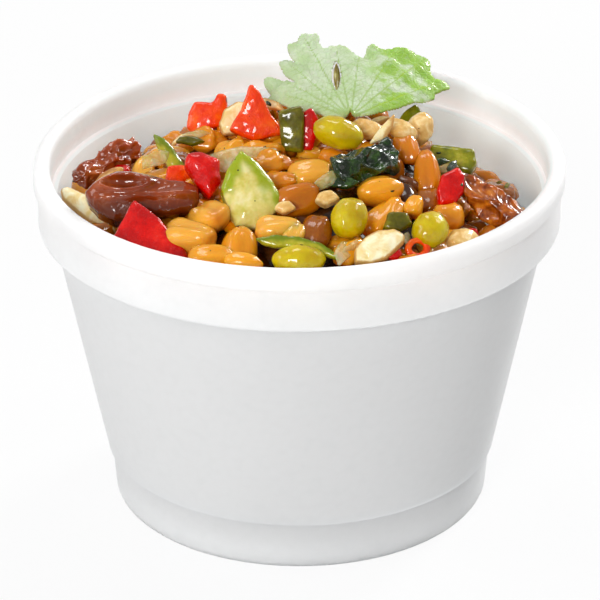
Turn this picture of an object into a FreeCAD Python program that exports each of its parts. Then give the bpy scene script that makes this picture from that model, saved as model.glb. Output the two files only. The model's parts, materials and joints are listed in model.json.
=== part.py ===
# Foam food cup filled with a grain salad and topped with a herb leaf.
# Millimetres, +Z up, the origin at the middle of the base on the surface the cup stands on,
# +Y to the back, where the salad lies lowest, and +X to the right.
import FreeCAD, Part
import math
import os
import re
import Sketcher

doc = FreeCAD.newDocument("foam_food_cup")
Vec = FreeCAD.Vector

# ---------------------------------------------------------------- driving dimensions
cupSizes = [
    ("cup_height", 72.0, "base to the top of the lip"),
    ("rim_radius", 52.5, "outside of the lip"),
    ("base_radius", 37.6, "outside of the foot at the base"),
    ("lip_width", 3.4, "across the top of the lip"),
    ("lip_height", 3.8, "upright outside of the lip"),
    ("lip_round", 1.65, "rounding of both top edges of the lip"),
    ("band_step", 0.75, "from the lip in to the band"),
    ("band_height", 13.0, "top of the lip to the lower edge of the band"),
    ("band_round", 0.9, "rounding of the band's lower edge"),
    ("wall_step", 2.7, "from the band in to the tapered wall"),
    ("wall_thick", 2.3, "thickness of the tapered wall at the foot, measured level"),
    ("foot_height", 10.6, "height of the foot"),
    ("foot_step", 0.7, "from the tapered wall in to the foot"),
    ("foot_flare", 0.9, "how far the foot widens from base to top"),
    ("foot_round", 1.3, "rounding of the outer base edge"),
    ("ledge_depth", 6.6, "top of the lip down to the ledge inside"),
    ("ledge_slope", 0.6, "how far the ledge slopes down"),
    ("ledge_width", 1.17, "from the inside of the lip in to the tapered inside"),
    ("floor_height", 3.2, "surface up to the floor inside"),
    ("floor_round", 3.0, "rounding between the floor and the wall"),
    ("recess_radius", 33.0, "hollow under the base"),
    ("recess_depth", 1.4, "depth of the hollow under the base"),
]
saladSizes = [
    ("salad_gap", 0.2, "between the salad and the foam"),
    ("salad_peak", 3.0, "middle of the salad above the lip"),
    ("drop_front", 6.0, "salad below the lip at the front wall"),
    ("drop_back", 16.0, "salad below the lip at the back wall"),
    ("grain_length", 9.0, "one cooked grain"),
    ("grain_width", 6.0, "one cooked grain"),
    ("grain_pitch", 6.6, "middle to middle of the grains on top"),
    ("grain_sink", 1.5, "middle of a top grain below the mean height of the salad"),
    ("surface_step", 1.5, "spacing of the poles of the salad's surface"),
    ("topping_gap", 0.2, "between a topping and the salad under it"),
]
leafSizes = [
    ("leaf_reach", 28.9, "stalk end to the furthest tip"),
    ("leaf_thick", 0.6, "thickness of the leaf"),
    ("leaf_bend", 60.0, "radius of the leaf's curve from side to side"),
    ("leaf_lift", 3.2, "leaf's stalk end above the salad"),
    ("slit_length", 8.0, "slit in the middle of the leaf"),
    ("slit_width", 1.4, "slit in the middle of the leaf"),
]

# Swells and hollows of the heap: middle as shares of the salad's radius to the right and to
# the back, then height and spread.
lumps = [
    ((-0.06, 0.21), 3.0, 11.0),
    ((0.67, 0.52), -4.0, 13.0),
    ((-0.56, 0.42), -4.0, 10.0),
    ((0.43, 0.24), 3.0, 7.0),
]

# Toppings. place: shares of the salad's radius to the right and to the back. lift: middle of
# the topping above the salad. turn: yaw, pitch and roll on the slope. size: length, width and
# thickness. bend: radius that a cut piece curves to along its length. corners: its outline in
# half lengths and half widths.
triangle = [(-1.0, -0.85), (0.95, -1.0), (0.15, 1.0), (-0.25, 1.0)]
slab = [(-1.0, -0.9), (0.9, -1.0), (1.0, 0.85), (-0.95, 1.0)]
wedge = [(-1.0, -0.2), (0.7, -1.0), (1.0, 0.6), (-0.6, 1.0)]
dart = [(-1.0, -0.15), (0.6, -1.0), (1.0, 0.2), (0.5, 1.0), (-1.0, 0.15)]
diamond = [(-1.0, 0.05), (-0.1, -1.0), (1.0, -0.25), (0.85, 0.55), (0.1, 1.0)]

ovals = {
    "pea_top": {"place": (0.160, -0.086), "lift": 3.4, "turn": (-14, 4, 0), "size": (10.6, 6.6, 6.2)},
    "pea_middle": {"place": (0.198, -0.631), "lift": 2.4, "turn": (75, 0, 0), "size": (8.8, 7.2, 7.0)},
    "pea_right": {"place": (0.518, -0.626), "lift": 2.2, "turn": (60, 0, 0), "size": (8.2, 7.0, 7.0)},
    "pea_front": {"place": (-0.003, -0.826), "lift": 0.2, "turn": (4, 0, 0), "size": (10.6, 6.2, 5.6)},
    "nut_back": {"place": (0.494, 0.106), "lift": 3.0, "turn": (80, -40, 0), "size": (8.2, 5.8, 5.0)},
    "nut_middle": {"place": (0.421, 0.007), "lift": 4.0, "turn": (-20, 0, 0), "size": (6.4, 4.4, 3.8)},
    "nut_left": {"place": (0.282, 0.033), "lift": 1.9, "turn": (0, 0, 0), "size": (7.0, 4.4, 3.8)},
    "nut_rim": {"place": (0.651, -0.591), "lift": 0.4, "turn": (30, 0, 0), "size": (7.4, 5.4, 4.6)},
}
slivers = {
    "almond_wall": {"place": (-0.860, -0.262), "lift": 1.0, "turn": (-66, 0, 0), "size": (21.0, 3.2, 2.4)},
    "almond_left": {"place": (-0.796, -0.103), "lift": 2.2, "turn": (52, 0, 20), "size": (13.0, 3.6, 2.4)},
    "almond_top": {"place": (-0.264, 0.131), "lift": 2.2, "turn": (35, 0, 40), "size": (7.6, 5.8, 2.8)},
    "almond_front": {"place": (0.316, -0.797), "lift": 2.6, "turn": (32, 0, 35), "size": (9.8, 6.2, 3.0)},
    "almond_back": {"place": (0.334, -0.070), "lift": 5.2, "turn": (48, 0, 20), "size": (8.0, 2.6, 1.4)},
}
wrinkled = {
    "raisin_back": {"place": (-0.784, 0.104), "lift": 3.2, "turn": (44, 0, 0), "size": (19.0, 8.0, 6.6)},
    "raisin_left": {"place": (-0.635, -0.360), "lift": 2.6, "turn": (-3, 0, 10), "size": (17.6, 7.0, 5.6)},
    "raisin_right": {"place": (0.775, -0.307), "lift": 2.8, "turn": (-35, 0, 0), "size": (14.4, 8.4, 7.0)},
    "spinach_leaf": {"place": (0.269, -0.261), "lift": 2.8, "turn": (35, 0, 0), "size": (16.5, 7.6, 4.2)},
}
cuts = {
    "pepper_front": {"place": (-0.605, -0.579), "lift": 1.6, "turn": (-28, 0, 0),
                     "size": (18.0, 11.6, 2.6), "bend": 34.0, "corners": triangle},
    "pepper_middle": {"place": (-0.392, -0.314), "lift": 3.4, "turn": (80, 12, 0),
                      "size": (9.0, 6.2, 3.2), "bend": 9.0, "corners": slab},
    "pepper_back": {"place": (-0.386, 0.206), "lift": 4.8, "turn": (30, -20, 30),
                    "size": (8.6, 6.2, 2.6), "bend": 16.0, "corners": wedge},
    "pepper_peak": {"place": (-0.193, 0.050), "lift": 3.8, "turn": (0, 0, 38),
                    "size": (10.4, 11.6, 2.8), "bend": 26.0, "corners": triangle},
    "pepper_strip": {"place": (0.046, -0.003), "lift": 1.4, "turn": (84, -36, 0),
                     "size": (8.0, 2.5, 2.2), "bend": 20.0, "corners": slab},
    "pepper_right": {"place": (0.588, -0.296), "lift": 2.8, "turn": (60, 0, 0),
                     "size": (6.4, 4.0, 2.4), "bend": 12.0, "corners": slab},
    "green_strip": {"place": (-0.031, -0.023), "lift": 1.8, "turn": (86, -36, 0),
                    "size": (8.6, 4.2, 2.2), "bend": 22.0, "corners": slab},
    "green_dart": {"place": (-0.532, -0.074), "lift": 3.2, "turn": (-62, 22, 0),
                   "size": (9.6, 3.8, 2.0), "bend": 14.0, "corners": dart},
    "green_chunk": {"place": (-0.198, -0.466), "lift": 2.8, "turn": (95, 8, 0),
                    "size": (15.5, 10.4, 5.2), "bend": 30.0, "corners": diamond},
    "green_arc": {"place": (-0.011, -0.770), "lift": 2.7, "turn": (-4, 0, 20),
                  "size": (14.6, 2.6, 1.5), "bend": 11.0, "corners": wedge},
    "green_right": {"place": (0.637, 0.021), "lift": 2.0, "turn": (-12, 0, 10),
                    "size": (9.6, 6.4, 3.0), "bend": 15.0, "corners": wedge},
    "green_back": {"place": (0.465, 0.268), "lift": 3.0, "turn": (20, 0, 15),
                   "size": (7.4, 6.4, 2.4), "bend": 15.0, "corners": wedge},
    "onion_plate": {"place": (-0.236, -0.193), "lift": 1.6, "turn": (10, 0, 0),
                    "size": (8.4, 4.6, 1.2), "bend": 18.0, "corners": slab},
    "onion_slice": {"place": (0.102, -0.407), "lift": 2.8, "turn": (28, 0, 10),
                    "size": (5.2, 3.6, 1.1), "bend": 10.0, "corners": wedge},
}
toppings = {**ovals, **slivers, **wrinkled, **cuts}

# Sections of the lofted toppings: the angles, as seen from the middle, that set the sections
# along the length, and the angle between points round each.
sectionAngles = range(-78, 79, 13)
pointAngle = 20
sliverShare = 0.82
sliverTaper = 0.18
sliverFlat = 0.35
foldCount = 5
foldDepth = 0.07
foldWander = 0.5
creaseDepth = 0.03
waistDepth = 0.08

# Outline of the leaf, tips and notches in turn from its right edge round to its left: bearing
# from the stalk end in degrees and share of the leaf's reach.
leafOutline = [(26, 0.30), (27, 0.52), (29, 0.65), (35, 0.84), (44, 0.78), (54, 0.905), (63, 0.865),
               (74, 0.79), (78, 0.80), (82, 0.65), (87, 0.69), (93, 0.78), (96.5, 0.745), (99, 0.775),
               (102, 0.77), (102.5, 0.91), (106, 0.92), (108, 1.0), (113, 0.92), (116, 0.94),
               (118, 0.77), (125, 0.81), (131, 0.53), (132, 0.66), (137, 0.78), (146, 0.64),
               (149, 0.65), (150, 0.30)]
leafPlace = (0.205, 0.03)
leafTurn = (0.0, 0.0, 17.0)
slitPlace = (-2.5, 13.4)

# ---------------------------------------------------------------- the sheet
sheet = doc.addObject("Spreadsheet::Sheet", "sizes")
rows = cupSizes + saladSizes + leafSizes
for node, topping in toppings.items():
    words = node.replace("_", " ")
    for part, number in zip(("length", "width", "thick"), topping["size"]):
        rows.append((node + "_" + part, number, words + ", " + part))
    if "bend" in topping:
        rows.append((node + "_bend", topping["bend"], words + ", radius it curves to"))
for row, (alias, number, note) in enumerate(rows, start=1):
    sheet.set("A%d" % row, note)
    sheet.set("B%d" % row, str(number))
    sheet.setAlias("B%d" % row, alias)
doc.recompute()


def value(expression):
    """Number that an expression over the sheet's aliases gives."""
    return float(sheet.evalExpression(expression))


def bound(expression):
    """The same expression as other objects write it: every alias holds an underscore."""
    return re.sub(r"\b([a-z]+(?:_[a-z]+)+)\b", r"sizes.\1", expression)


def bind(obj, **expressions):
    for prop, expression in expressions.items():
        obj.setExpression(prop.replace("__", "."), bound(expression))


# ---------------------------------------------------------------- sketches and turned bodies
def placeCorner(sketch, index, kind, axis, expression):
    """Holds one corner of an outline at its distance from the origin along one axis."""
    number = value(expression)
    if abs(number) < 1e-9:
        sketch.addConstraint(Sketcher.Constraint("PointOnObject", index, 1, axis))
    elif number > 0:
        constraint = sketch.addConstraint(Sketcher.Constraint(kind, -1, 1, index, 1, number))
        sketch.setExpression("Constraints[%d]" % constraint, bound(expression))
    else:
        constraint = sketch.addConstraint(Sketcher.Constraint(kind, index, 1, -1, 1, -number))
        sketch.setExpression("Constraints[%d]" % constraint, "-(%s)" % bound(expression))


def drawOutline(sketch, corners):
    """Closed outline of straight lines through corners given as pairs of expressions."""
    points = [Vec(value(across), value(up), 0) for across, up in corners]
    count = len(points)
    for index in range(count):
        sketch.addGeometry(Part.LineSegment(points[index], points[(index + 1) % count]), False)
    for index in range(count):
        sketch.addConstraint(Sketcher.Constraint("Coincident", index, 2, (index + 1) % count, 1))
    for index, (across, up) in enumerate(corners):
        placeCorner(sketch, index, "DistanceX", -2, across)
        placeCorner(sketch, index, "DistanceY", -1, up)


def turned(body, kind, name, corners):
    """Revolution or Groove of an outline in the body's XZ plane, about its upright axis."""
    sketch = body.newObject("Sketcher::SketchObject", name + "_outline")
    plane = next(item for item in body.Origin.OriginFeatures if item.Role == "XZ_Plane")
    sketch.AttachmentSupport = (plane, [""])
    sketch.MapMode = "FlatFace"
    drawOutline(sketch, corners)
    feature = body.newObject("PartDesign::" + kind, name)
    feature.Profile = sketch
    feature.ReferenceAxis = (sketch, ["V_Axis"])
    feature.Angle = 360
    return feature


def ringEdge(shape, radius, height):
    """Name of the round edge of a turned shape at this radius and height."""
    def misfit(edge):
        return abs(edge.Curve.Radius - radius) + abs(edge.Curve.Center.z - height)
    rings = [(misfit(edge), "Edge%d" % number) for number, edge in enumerate(shape.Edges, start=1)
             if edge.Curve.TypeId == "Part::GeomCircle" and abs(edge.Curve.Axis.z) > 0.99]
    return min(rings)[1]


def rounded(body, name, rings, radius):
    """Fillet of the ring edges, each a pair of expressions for its radius and height."""
    doc.recompute()
    base = body.Tip
    edges = [ringEdge(base.Shape, value(across), value(up)) for across, up in rings]
    fillet = body.newObject("PartDesign::Fillet", name)
    fillet.Base = (base, edges)
    bind(fillet, Radius=radius)
    return fillet


# ---------------------------------------------------------------- the foam cup
lipInside = "(rim_radius - lip_width)"
bandRadius = "(rim_radius - band_step)"
wallTop = "(rim_radius - band_step - wall_step)"
footTop = "(base_radius + foot_flare)"
wallFoot = "(base_radius + foot_flare + foot_step)"
bandLow = "(cup_height - band_height)"
lipLow = "(cup_height - lip_height)"
ledgeTop = "(cup_height - ledge_depth)"
ledgeLow = "(cup_height - ledge_depth - ledge_slope)"
insideTop = "(rim_radius - lip_width - ledge_width)"
insideFoot = "(base_radius + foot_flare + foot_step - wall_thick)"
insideTaper = "((%s - %s) / (%s - foot_height))" % (insideTop, insideFoot, ledgeLow)


def insideAt(height):
    """Radius of the tapered inside at a height, from the foot's wall up to the ledge."""
    return "(%s + (%s - foot_height) * %s)" % (insideFoot, height, insideTaper)


def makeCup():
    body = doc.addObject("PartDesign::Body", "foam_cup")
    turned(body, "Revolution", "cup_outside", [
        ("0", "0"), ("base_radius", "0"), (footTop, "foot_height"), (wallFoot, "foot_height"),
        (wallTop, bandLow), (bandRadius, bandLow), (bandRadius, lipLow + " - band_step"),
        ("rim_radius", lipLow), ("rim_radius", "cup_height"), ("0", "cup_height")])
    turned(body, "Groove", "cup_inside", [
        ("0", "floor_height"), (insideAt("floor_height"), "floor_height"),
        (insideAt(ledgeLow), ledgeLow), (lipInside, ledgeTop),
        (lipInside, "cup_height + lip_height"), ("0", "cup_height + lip_height")])
    turned(body, "Groove", "base_recess", [
        ("0", "-recess_depth"), ("recess_radius", "-recess_depth"),
        ("recess_radius", "recess_depth"), ("0", "recess_depth")])
    rounded(body, "lip_rounding", [("rim_radius", "cup_height"), (lipInside, "cup_height")],
            "lip_round")
    rounded(body, "band_rounding", [(bandRadius, bandLow)], "band_round")
    rounded(body, "foot_rounding", [("base_radius", "0")], "foot_round")
    rounded(body, "floor_rounding", [(insideAt("floor_height"), "floor_height")], "floor_round")
    return body


# ---------------------------------------------------------------- the lie of the salad
rimTop = value("cup_height")
peakLevel = rimTop + value("salad_peak")
frontLevel = rimTop - value("drop_front")
backLevel = rimTop - value("drop_back")
toppingGap = value("topping_gap")
saladRadius = value(insideAt("cup_height - drop_front")) - value("salad_gap")


def saladHeight(x, y):
    """Mean height of the heap: a dome that falls further to the back, with its lumps."""
    reach = math.hypot(x, y) / saladRadius
    share = (1 + y / saladRadius) / 2
    wallLevel = frontLevel * (1 - share) + backLevel * share
    height = wallLevel + (peakLevel - wallLevel) * (1 - reach ** 2)
    for (right, back), swell, spread in lumps:
        away = math.hypot(x - right * saladRadius, y - back * saladRadius)
        height += swell * math.exp(-away ** 2 / (2 * spread ** 2))
    return height


def slopeTurn(x, y):
    """Rotation that lays a flat thing on the heap's slope."""
    step = value("grain_width")
    rise = (saladHeight(x + step, y) - saladHeight(x - step, y)) / (2 * step)
    climb = (saladHeight(x, y + step) - saladHeight(x, y - step)) / (2 * step)
    return FreeCAD.Rotation(Vec(0, 0, 1), Vec(-rise, -climb, 1))


def lay(place, lift, turn):
    """Placement on the heap at a place given in shares of its radius."""
    x = place[0] * saladRadius
    y = place[1] * saladRadius
    return FreeCAD.Placement(Vec(x, y, saladHeight(x, y) + lift),
                             slopeTurn(x, y) * FreeCAD.Rotation(*turn))


# ---------------------------------------------------------------- toppings
def makeOval(node):
    oval = doc.addObject("Part::Ellipsoid", node)
    bind(oval, Radius1=node + "_thick / 2", Radius2=node + "_length / 2",
         Radius3=node + "_width / 2")
    return oval


def loft(node, halfSize, section):
    """Solid through closed sections along the length. halfSize gives the share of the full
    section at a station from -1 to 1, section the radius share at an angle there."""
    length, width, thick = (value(node + end) for end in ("_length", "_width", "_thick"))
    stations = [math.sin(math.radians(angle)) for angle in sectionAngles]
    sections = []
    for station in stations:
        points = []
        for angle in range(0, 360, pointAngle):
            turn = math.radians(angle)
            share = halfSize(station) * section(turn, station) / 2
            points.append(Vec(station * length / 2, share * width * math.cos(turn),
                              share * thick * math.sin(turn)))
        curve = Part.BSplineCurve()
        curve.interpolate(points, PeriodicFlag=True)
        sections.append(Part.Wire(curve.toShape()))
    feature = doc.addObject("Part::Feature", node)
    feature.Shape = Part.makeLoft(sections, True, False)
    return feature


def makeSliver(node):
    """Nut cut lengthways: blunt at one end, drawn out to a point at the other, flat below."""
    def halfSize(station):
        return (1 - station ** 2) ** 0.5 * (sliverShare - sliverTaper * station)

    def section(turn, station):
        return 1.0 if math.sin(turn) > 0 else 1 - sliverFlat * abs(math.sin(turn))
    return loft(node, halfSize, section)


def makeWrinkled(node):
    """Dried fruit or crumpled leaf: folds that run lengthways and wander a little."""
    phase = len(node)

    def halfSize(station):
        waist = 1 - waistDepth + waistDepth * math.cos(5 * station + phase)
        return (1 - station ** 4) ** 0.5 * waist

    def section(turn, station):
        wander = turn + foldWander * math.sin(2.2 * station + phase)
        crease = creaseDepth * math.cos(3 * turn - 4 * station)
        return 1 - foldDepth - creaseDepth + foldDepth * math.cos(foldCount * wander) + crease
    return loft(node, halfSize, section)


def makeCut(node):
    """Cut piece: its outline, taken out of a tube wall of its thickness."""
    walls = []
    for side, sign in (("outer", "+"), ("inner", "-")):
        wall = doc.addObject("Part::Cylinder", node + "_" + side)
        bind(wall, Radius="%s_bend %s %s_thick / 2" % (node, sign, node),
             Height=node + "_width * 2", Placement__Base__y="-" + node + "_width",
             Placement__Base__z="-" + node + "_bend")
        wall.Placement = FreeCAD.Placement(wall.Placement.Base, FreeCAD.Rotation(Vec(1, 0, 0), -90))
        walls.append(wall)
    shell = doc.addObject("Part::Cut", node + "_shell")
    shell.Base, shell.Tool = walls
    outline = doc.addObject("Sketcher::SketchObject", node + "_outline")
    drawOutline(outline, [("%s * %s_length / 2" % (along, node), "%s * %s_width / 2" % (over, node))
                          for along, over in toppings[node]["corners"]])
    prism = doc.addObject("Part::Extrusion", node + "_prism")
    prism.Base = outline
    prism.Dir = Vec(0, 0, 1)
    prism.Solid = True
    prism.Symmetric = True
    bind(prism, LengthFwd=node + "_bend * 2")
    piece = doc.addObject("Part::Common", node)
    piece.Base = shell
    piece.Tool = prism
    return piece


def makeTopping(node):
    makers = ((ovals, makeOval), (slivers, makeSliver), (wrinkled, makeWrinkled), (cuts, makeCut))
    topping = toppings[node]
    piece = next(make for group, make in makers if node in group)(node)
    piece.Placement = lay(topping["place"], topping["lift"], topping["turn"])
    return piece


# ---------------------------------------------------------------- the herb leaf
def makeLeaf():
    """Thin leaf curved from side to side, with its lobed outline and the slit in its middle."""
    points = [Vec(0, 0, 0)]
    for bearing, share in leafOutline:
        turn = math.radians(bearing)
        reach = share * value("leaf_reach")
        points.append(Vec(reach * math.cos(turn), reach * math.sin(turn), 0))
    points.append(points[0])
    bend = value("leaf_bend")
    deep = Vec(0, 0, bend)
    prism = Part.Face(Part.makePolygon(points)).extrude(deep)
    prism.translate(-deep / 2)
    slit = Part.makeCylinder(value("slit_length") / 2, bend, Vec(0, 0, -bend / 2))
    squeeze = FreeCAD.Matrix()
    squeeze.scale(value("slit_width") / value("slit_length"), 1, 1)
    slit = slit.transformGeometry(squeeze)
    slit.translate(Vec(slitPlace[0], slitPlace[1], 0))
    radius = bend + value("leaf_thick") / 2
    span = 4 * value("leaf_reach")
    low = Vec(0, -span / 2, -bend)
    outer = Part.makeCylinder(radius, span, low, Vec(0, 1, 0))
    inner = Part.makeCylinder(radius - value("leaf_thick"), span, low, Vec(0, 1, 0))
    leaf = doc.addObject("Part::Feature", "garnish_leaf")
    leaf.Shape = outer.cut(inner).common(prism).cut(slit)
    x = leafPlace[0] * saladRadius
    y = leafPlace[1] * saladRadius
    leaf.Placement = FreeCAD.Placement(Vec(x, y, saladHeight(x, y) + value("leaf_lift")),
                                       FreeCAD.Rotation(*leafTurn))
    return leaf


# ---------------------------------------------------------------- the grain salad
def grainMiddles():
    """Middles and turns of the grains on top, wound out from the middle in a sunflower."""
    spacing = value("grain_pitch") / math.sqrt(math.pi)
    count = int((1.1 * saladRadius / spacing) ** 2)
    golden = math.pi * (3 - math.sqrt(5))
    for number in range(count):
        away = spacing * math.sqrt(number + 0.5)
        yield away * math.cos(number * golden), away * math.sin(number * golden), 2.4 * number


def grainRelief(step):
    """Height of the top grains' backs over the mean height, by column and line of poles."""
    longHalf = value("grain_length") / 2
    wideHalf = value("grain_width") / 2
    around = int(longHalf / step) + 1
    relief = {}
    for middleX, middleY, turn in grainMiddles():
        column = round(middleX / step)
        line = round(middleY / step)
        for key in ((column + right, line + back) for right in range(-around, around + 1)
                    for back in range(-around, around + 1)):
            dx = key[0] * step - middleX
            dy = key[1] * step - middleY
            along = (dx * math.cos(turn) + dy * math.sin(turn)) / longHalf
            over = (dy * math.cos(turn) - dx * math.sin(turn)) / wideHalf
            inside = max(0, 1 - along ** 2 - over ** 2)
            relief[key] = max(relief.get(key, 0), wideHalf * math.sqrt(inside))
    return relief


def pressIn(heights, shape, step):
    """Lowers the poles under a topping, so that the spline through them passes below it."""
    corners, triangles = shape.tessellate(toppingGap)
    for triangle in triangles:
        a, b, c = (corners[index] for index in triangle)
        count = int(max((b - a).Length, (c - a).Length, (c - b).Length) / step) + 1
        for first in range(count + 1):
            for second in range(count + 1 - first):
                point = a + (b - a) * (first / count) + (c - a) * (second / count)
                column = math.floor(point.x / step)
                line = math.floor(point.y / step)
                for key in ((column + right, line + back) for right in range(-1, 3)
                            for back in range(-1, 3)):
                    if key in heights:
                        heights[key] = min(heights[key], point.z - toppingGap)


def propUp(heights, shape, step):
    """Raises the poles under the lowest part of a topping, as the grains that carry it."""
    corners = shape.tessellate(toppingGap)[0]
    lowest = min(corner.z for corner in corners)
    for corner in corners:
        if corner.z < lowest + step / 2:
            column = round(corner.x / step)
            line = round(corner.y / step)
            for key in ((column + right, line + back) for right in range(-1, 2)
                        for back in range(-1, 2)):
                if key in heights:
                    heights[key] = max(heights[key], lowest)


def makeSalad(pieces):
    """The heap fills the cup and lies close under every topping."""
    step = value("surface_step")
    half = int(saladRadius * 1.12 / step)
    relief = grainRelief(step)
    sink = value("grain_sink")
    span = range(-half, half + 1)
    heights = {(column, line): saladHeight(column * step, line * step)
               + relief.get((column, line), 0) - sink for column in span for line in span}
    for piece in pieces:
        propUp(heights, piece.Shape, step)
    for piece in pieces:
        pressIn(heights, piece.Shape, step)
    poles = [[Vec(column * step, line * step, heights[column, line]) for line in span]
             for column in span]
    knots = [float(knot) for knot in range(2 * half - 1)]
    repeats = [4] + [1] * (2 * half - 3) + [4]
    surface = Part.BSplineSurface()
    surface.buildFromPolesMultsKnots(poles, repeats, repeats, knots, knots, False, False, 3, 3)

    gap = value("salad_gap")
    low = value("floor_height") + gap
    high = rimTop + value("lip_height")
    lowRadius = value(insideAt("floor_height + salad_gap")) - gap
    highRadius = value(insideAt("cup_height + lip_height")) - gap
    heap = Part.makeCone(lowRadius, highRadius, high - low, Vec(0, 0, low))
    lowEdge = heap.getElement(ringEdge(heap, lowRadius, low))
    heap = heap.makeFillet(value("floor_round"), [lowEdge])
    salad = doc.addObject("Part::Feature", "grain_salad")
    salad.Shape = heap.cut(surface.toShape().extrude(Vec(0, 0, rimTop))).Solids[0]
    return salad


# ---------------------------------------------------------------- build, check and write
cup = makeCup()
pieces = [makeTopping(node) for node in toppings]
leaf = makeLeaf()
doc.recompute()
salad = makeSalad(pieces)
doc.recompute()

nodes = [cup, salad, leaf] + pieces
for obj in doc.Objects:
    if "Invalid" in obj.State or "Error" in obj.State:
        raise RuntimeError("failed to build: " + obj.Name)
for node in nodes:
    node.Label = node.Name
    if node.Shape.isNull() or not node.Shape.isValid():
        raise RuntimeError("bad shape: " + node.Name)
os.makedirs("parts", exist_ok=True)
for node in nodes:
    node.Shape.exportStep("parts/" + node.Label + ".step")
    print(node.Label, len(node.Shape.Solids), round(node.Shape.Volume, 1))
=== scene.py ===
import json
import math
import random

import bpy
import numpy as np
from mathutils import Euler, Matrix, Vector, noise
from mathutils.bvhtree import BVHTree

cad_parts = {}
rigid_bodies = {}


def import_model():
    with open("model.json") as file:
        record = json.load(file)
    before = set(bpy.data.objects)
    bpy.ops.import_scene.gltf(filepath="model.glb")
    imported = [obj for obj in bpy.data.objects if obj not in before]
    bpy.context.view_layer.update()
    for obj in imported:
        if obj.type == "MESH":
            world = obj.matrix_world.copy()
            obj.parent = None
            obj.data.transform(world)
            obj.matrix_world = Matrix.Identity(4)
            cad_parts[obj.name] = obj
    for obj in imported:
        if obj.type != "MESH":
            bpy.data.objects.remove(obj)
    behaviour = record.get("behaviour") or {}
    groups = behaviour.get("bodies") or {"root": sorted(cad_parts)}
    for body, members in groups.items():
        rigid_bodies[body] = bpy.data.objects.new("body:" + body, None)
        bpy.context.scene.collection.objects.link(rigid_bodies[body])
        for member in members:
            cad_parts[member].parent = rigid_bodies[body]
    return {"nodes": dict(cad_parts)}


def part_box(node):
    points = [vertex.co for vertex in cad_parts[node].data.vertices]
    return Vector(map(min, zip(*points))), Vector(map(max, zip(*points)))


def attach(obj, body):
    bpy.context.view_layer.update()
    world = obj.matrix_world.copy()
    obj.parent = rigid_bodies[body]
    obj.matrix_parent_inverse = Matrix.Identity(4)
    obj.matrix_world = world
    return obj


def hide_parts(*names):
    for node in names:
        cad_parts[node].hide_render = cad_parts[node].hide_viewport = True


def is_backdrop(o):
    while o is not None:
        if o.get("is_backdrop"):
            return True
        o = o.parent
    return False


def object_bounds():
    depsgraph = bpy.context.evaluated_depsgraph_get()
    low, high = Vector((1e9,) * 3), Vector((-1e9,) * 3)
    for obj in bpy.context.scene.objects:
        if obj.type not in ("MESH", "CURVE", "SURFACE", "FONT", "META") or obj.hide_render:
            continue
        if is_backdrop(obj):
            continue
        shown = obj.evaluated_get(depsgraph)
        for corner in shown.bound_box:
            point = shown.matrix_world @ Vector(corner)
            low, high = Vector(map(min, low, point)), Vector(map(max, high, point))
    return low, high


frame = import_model()
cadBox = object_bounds()

mm = 0.001
up = Vector((0, 0, 1))
golden = math.pi * (3 - math.sqrt(5))       # the turn from one seed of a sunflower to the next


# Hands: selecting, modifiers, meshes.
def pickOnly(*objects):
    # selects these and makes the first one active
    bpy.ops.object.select_all(action="DESELECT")
    for obj in reversed(objects):
        obj.select_set(True)
        bpy.context.view_layer.objects.active = obj


def apply(obj, kind, **settings):
    pickOnly(obj)
    modifier = obj.modifiers.new(kind.lower(), kind)
    for name, setting in settings.items():
        setattr(modifier, name, setting)
    bpy.ops.object.modifier_apply(modifier=modifier.name)


def settle(obj):
    pickOnly(obj)
    bpy.ops.object.transform_apply(location=True, rotation=True, scale=True)


def corners(obj):
    flat = np.empty(len(obj.data.vertices) * 3)
    obj.data.vertices.foreach_get("co", flat)
    return flat.reshape(-1, 3)


def setCorners(obj, points):
    obj.data.vertices.foreach_set("co", np.asarray(points).ravel())
    obj.data.update()


def paint(obj, name, values):
    # one number for each vertex, which a finish reads by its name
    layer = obj.data.attributes.new(name, "FLOAT", "POINT")
    layer.data.foreach_set("value", np.asarray(values, dtype=np.float32))


def smoothed(obj):
    pickOnly(obj)
    bpy.ops.object.shade_smooth()


def editAll(obj, operator, **settings):
    # one mesh operator over the whole piece
    pickOnly(obj)
    bpy.ops.object.mode_set(mode="EDIT")
    bpy.ops.mesh.select_all(action="SELECT")
    operator(**settings)
    bpy.ops.object.mode_set(mode="OBJECT")


def added(operator, name, **settings):
    # a primitive, lamp or camera, and its name
    pickOnly()
    operator(**settings)
    obj = bpy.context.active_object
    obj.name = name
    return obj


def takenApart(obj):
    # corners and faces of a primitive that is only a pattern for many copies
    points = corners(obj)
    faces = [tuple(polygon.vertices) for polygon in obj.data.polygons]
    mesh = obj.data
    bpy.data.objects.remove(obj)
    bpy.data.meshes.remove(mesh)
    return points, faces


def swell(obj, size, depth):
    # soft lumps of this size and depth all over, in mm
    texture = bpy.data.textures.new(obj.name, "CLOUDS")
    texture.noise_scale = size * mm
    texture.noise_basis = "BLENDER_ORIGINAL"
    texture.noise_depth = 3
    apply(obj, "DISPLACE", texture=texture, strength=depth * mm, mid_level=0.5,
          texture_coords="LOCAL")


def polar(away, angle):
    return away * math.cos(angle), away * math.sin(angle)


def joined(name, points, faces, **layers):
    # many small things as one mesh, from arrays
    mesh = bpy.data.meshes.new(name)
    mesh.from_pydata(points.tolist(), [], faces)
    mesh.update()
    obj = bpy.data.objects.new(name, mesh)
    bpy.context.scene.collection.objects.link(obj)
    for key, values in layers.items():
        paint(obj, key, values)
    smoothed(obj)
    return obj


def finishPiece(obj, finish, *nodes, slot=None):
    obj.data.materials.clear()
    obj.data.materials.append(finishes[finish])
    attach(obj, "root")
    if nodes:
        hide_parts(*nodes)
    return obj


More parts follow.
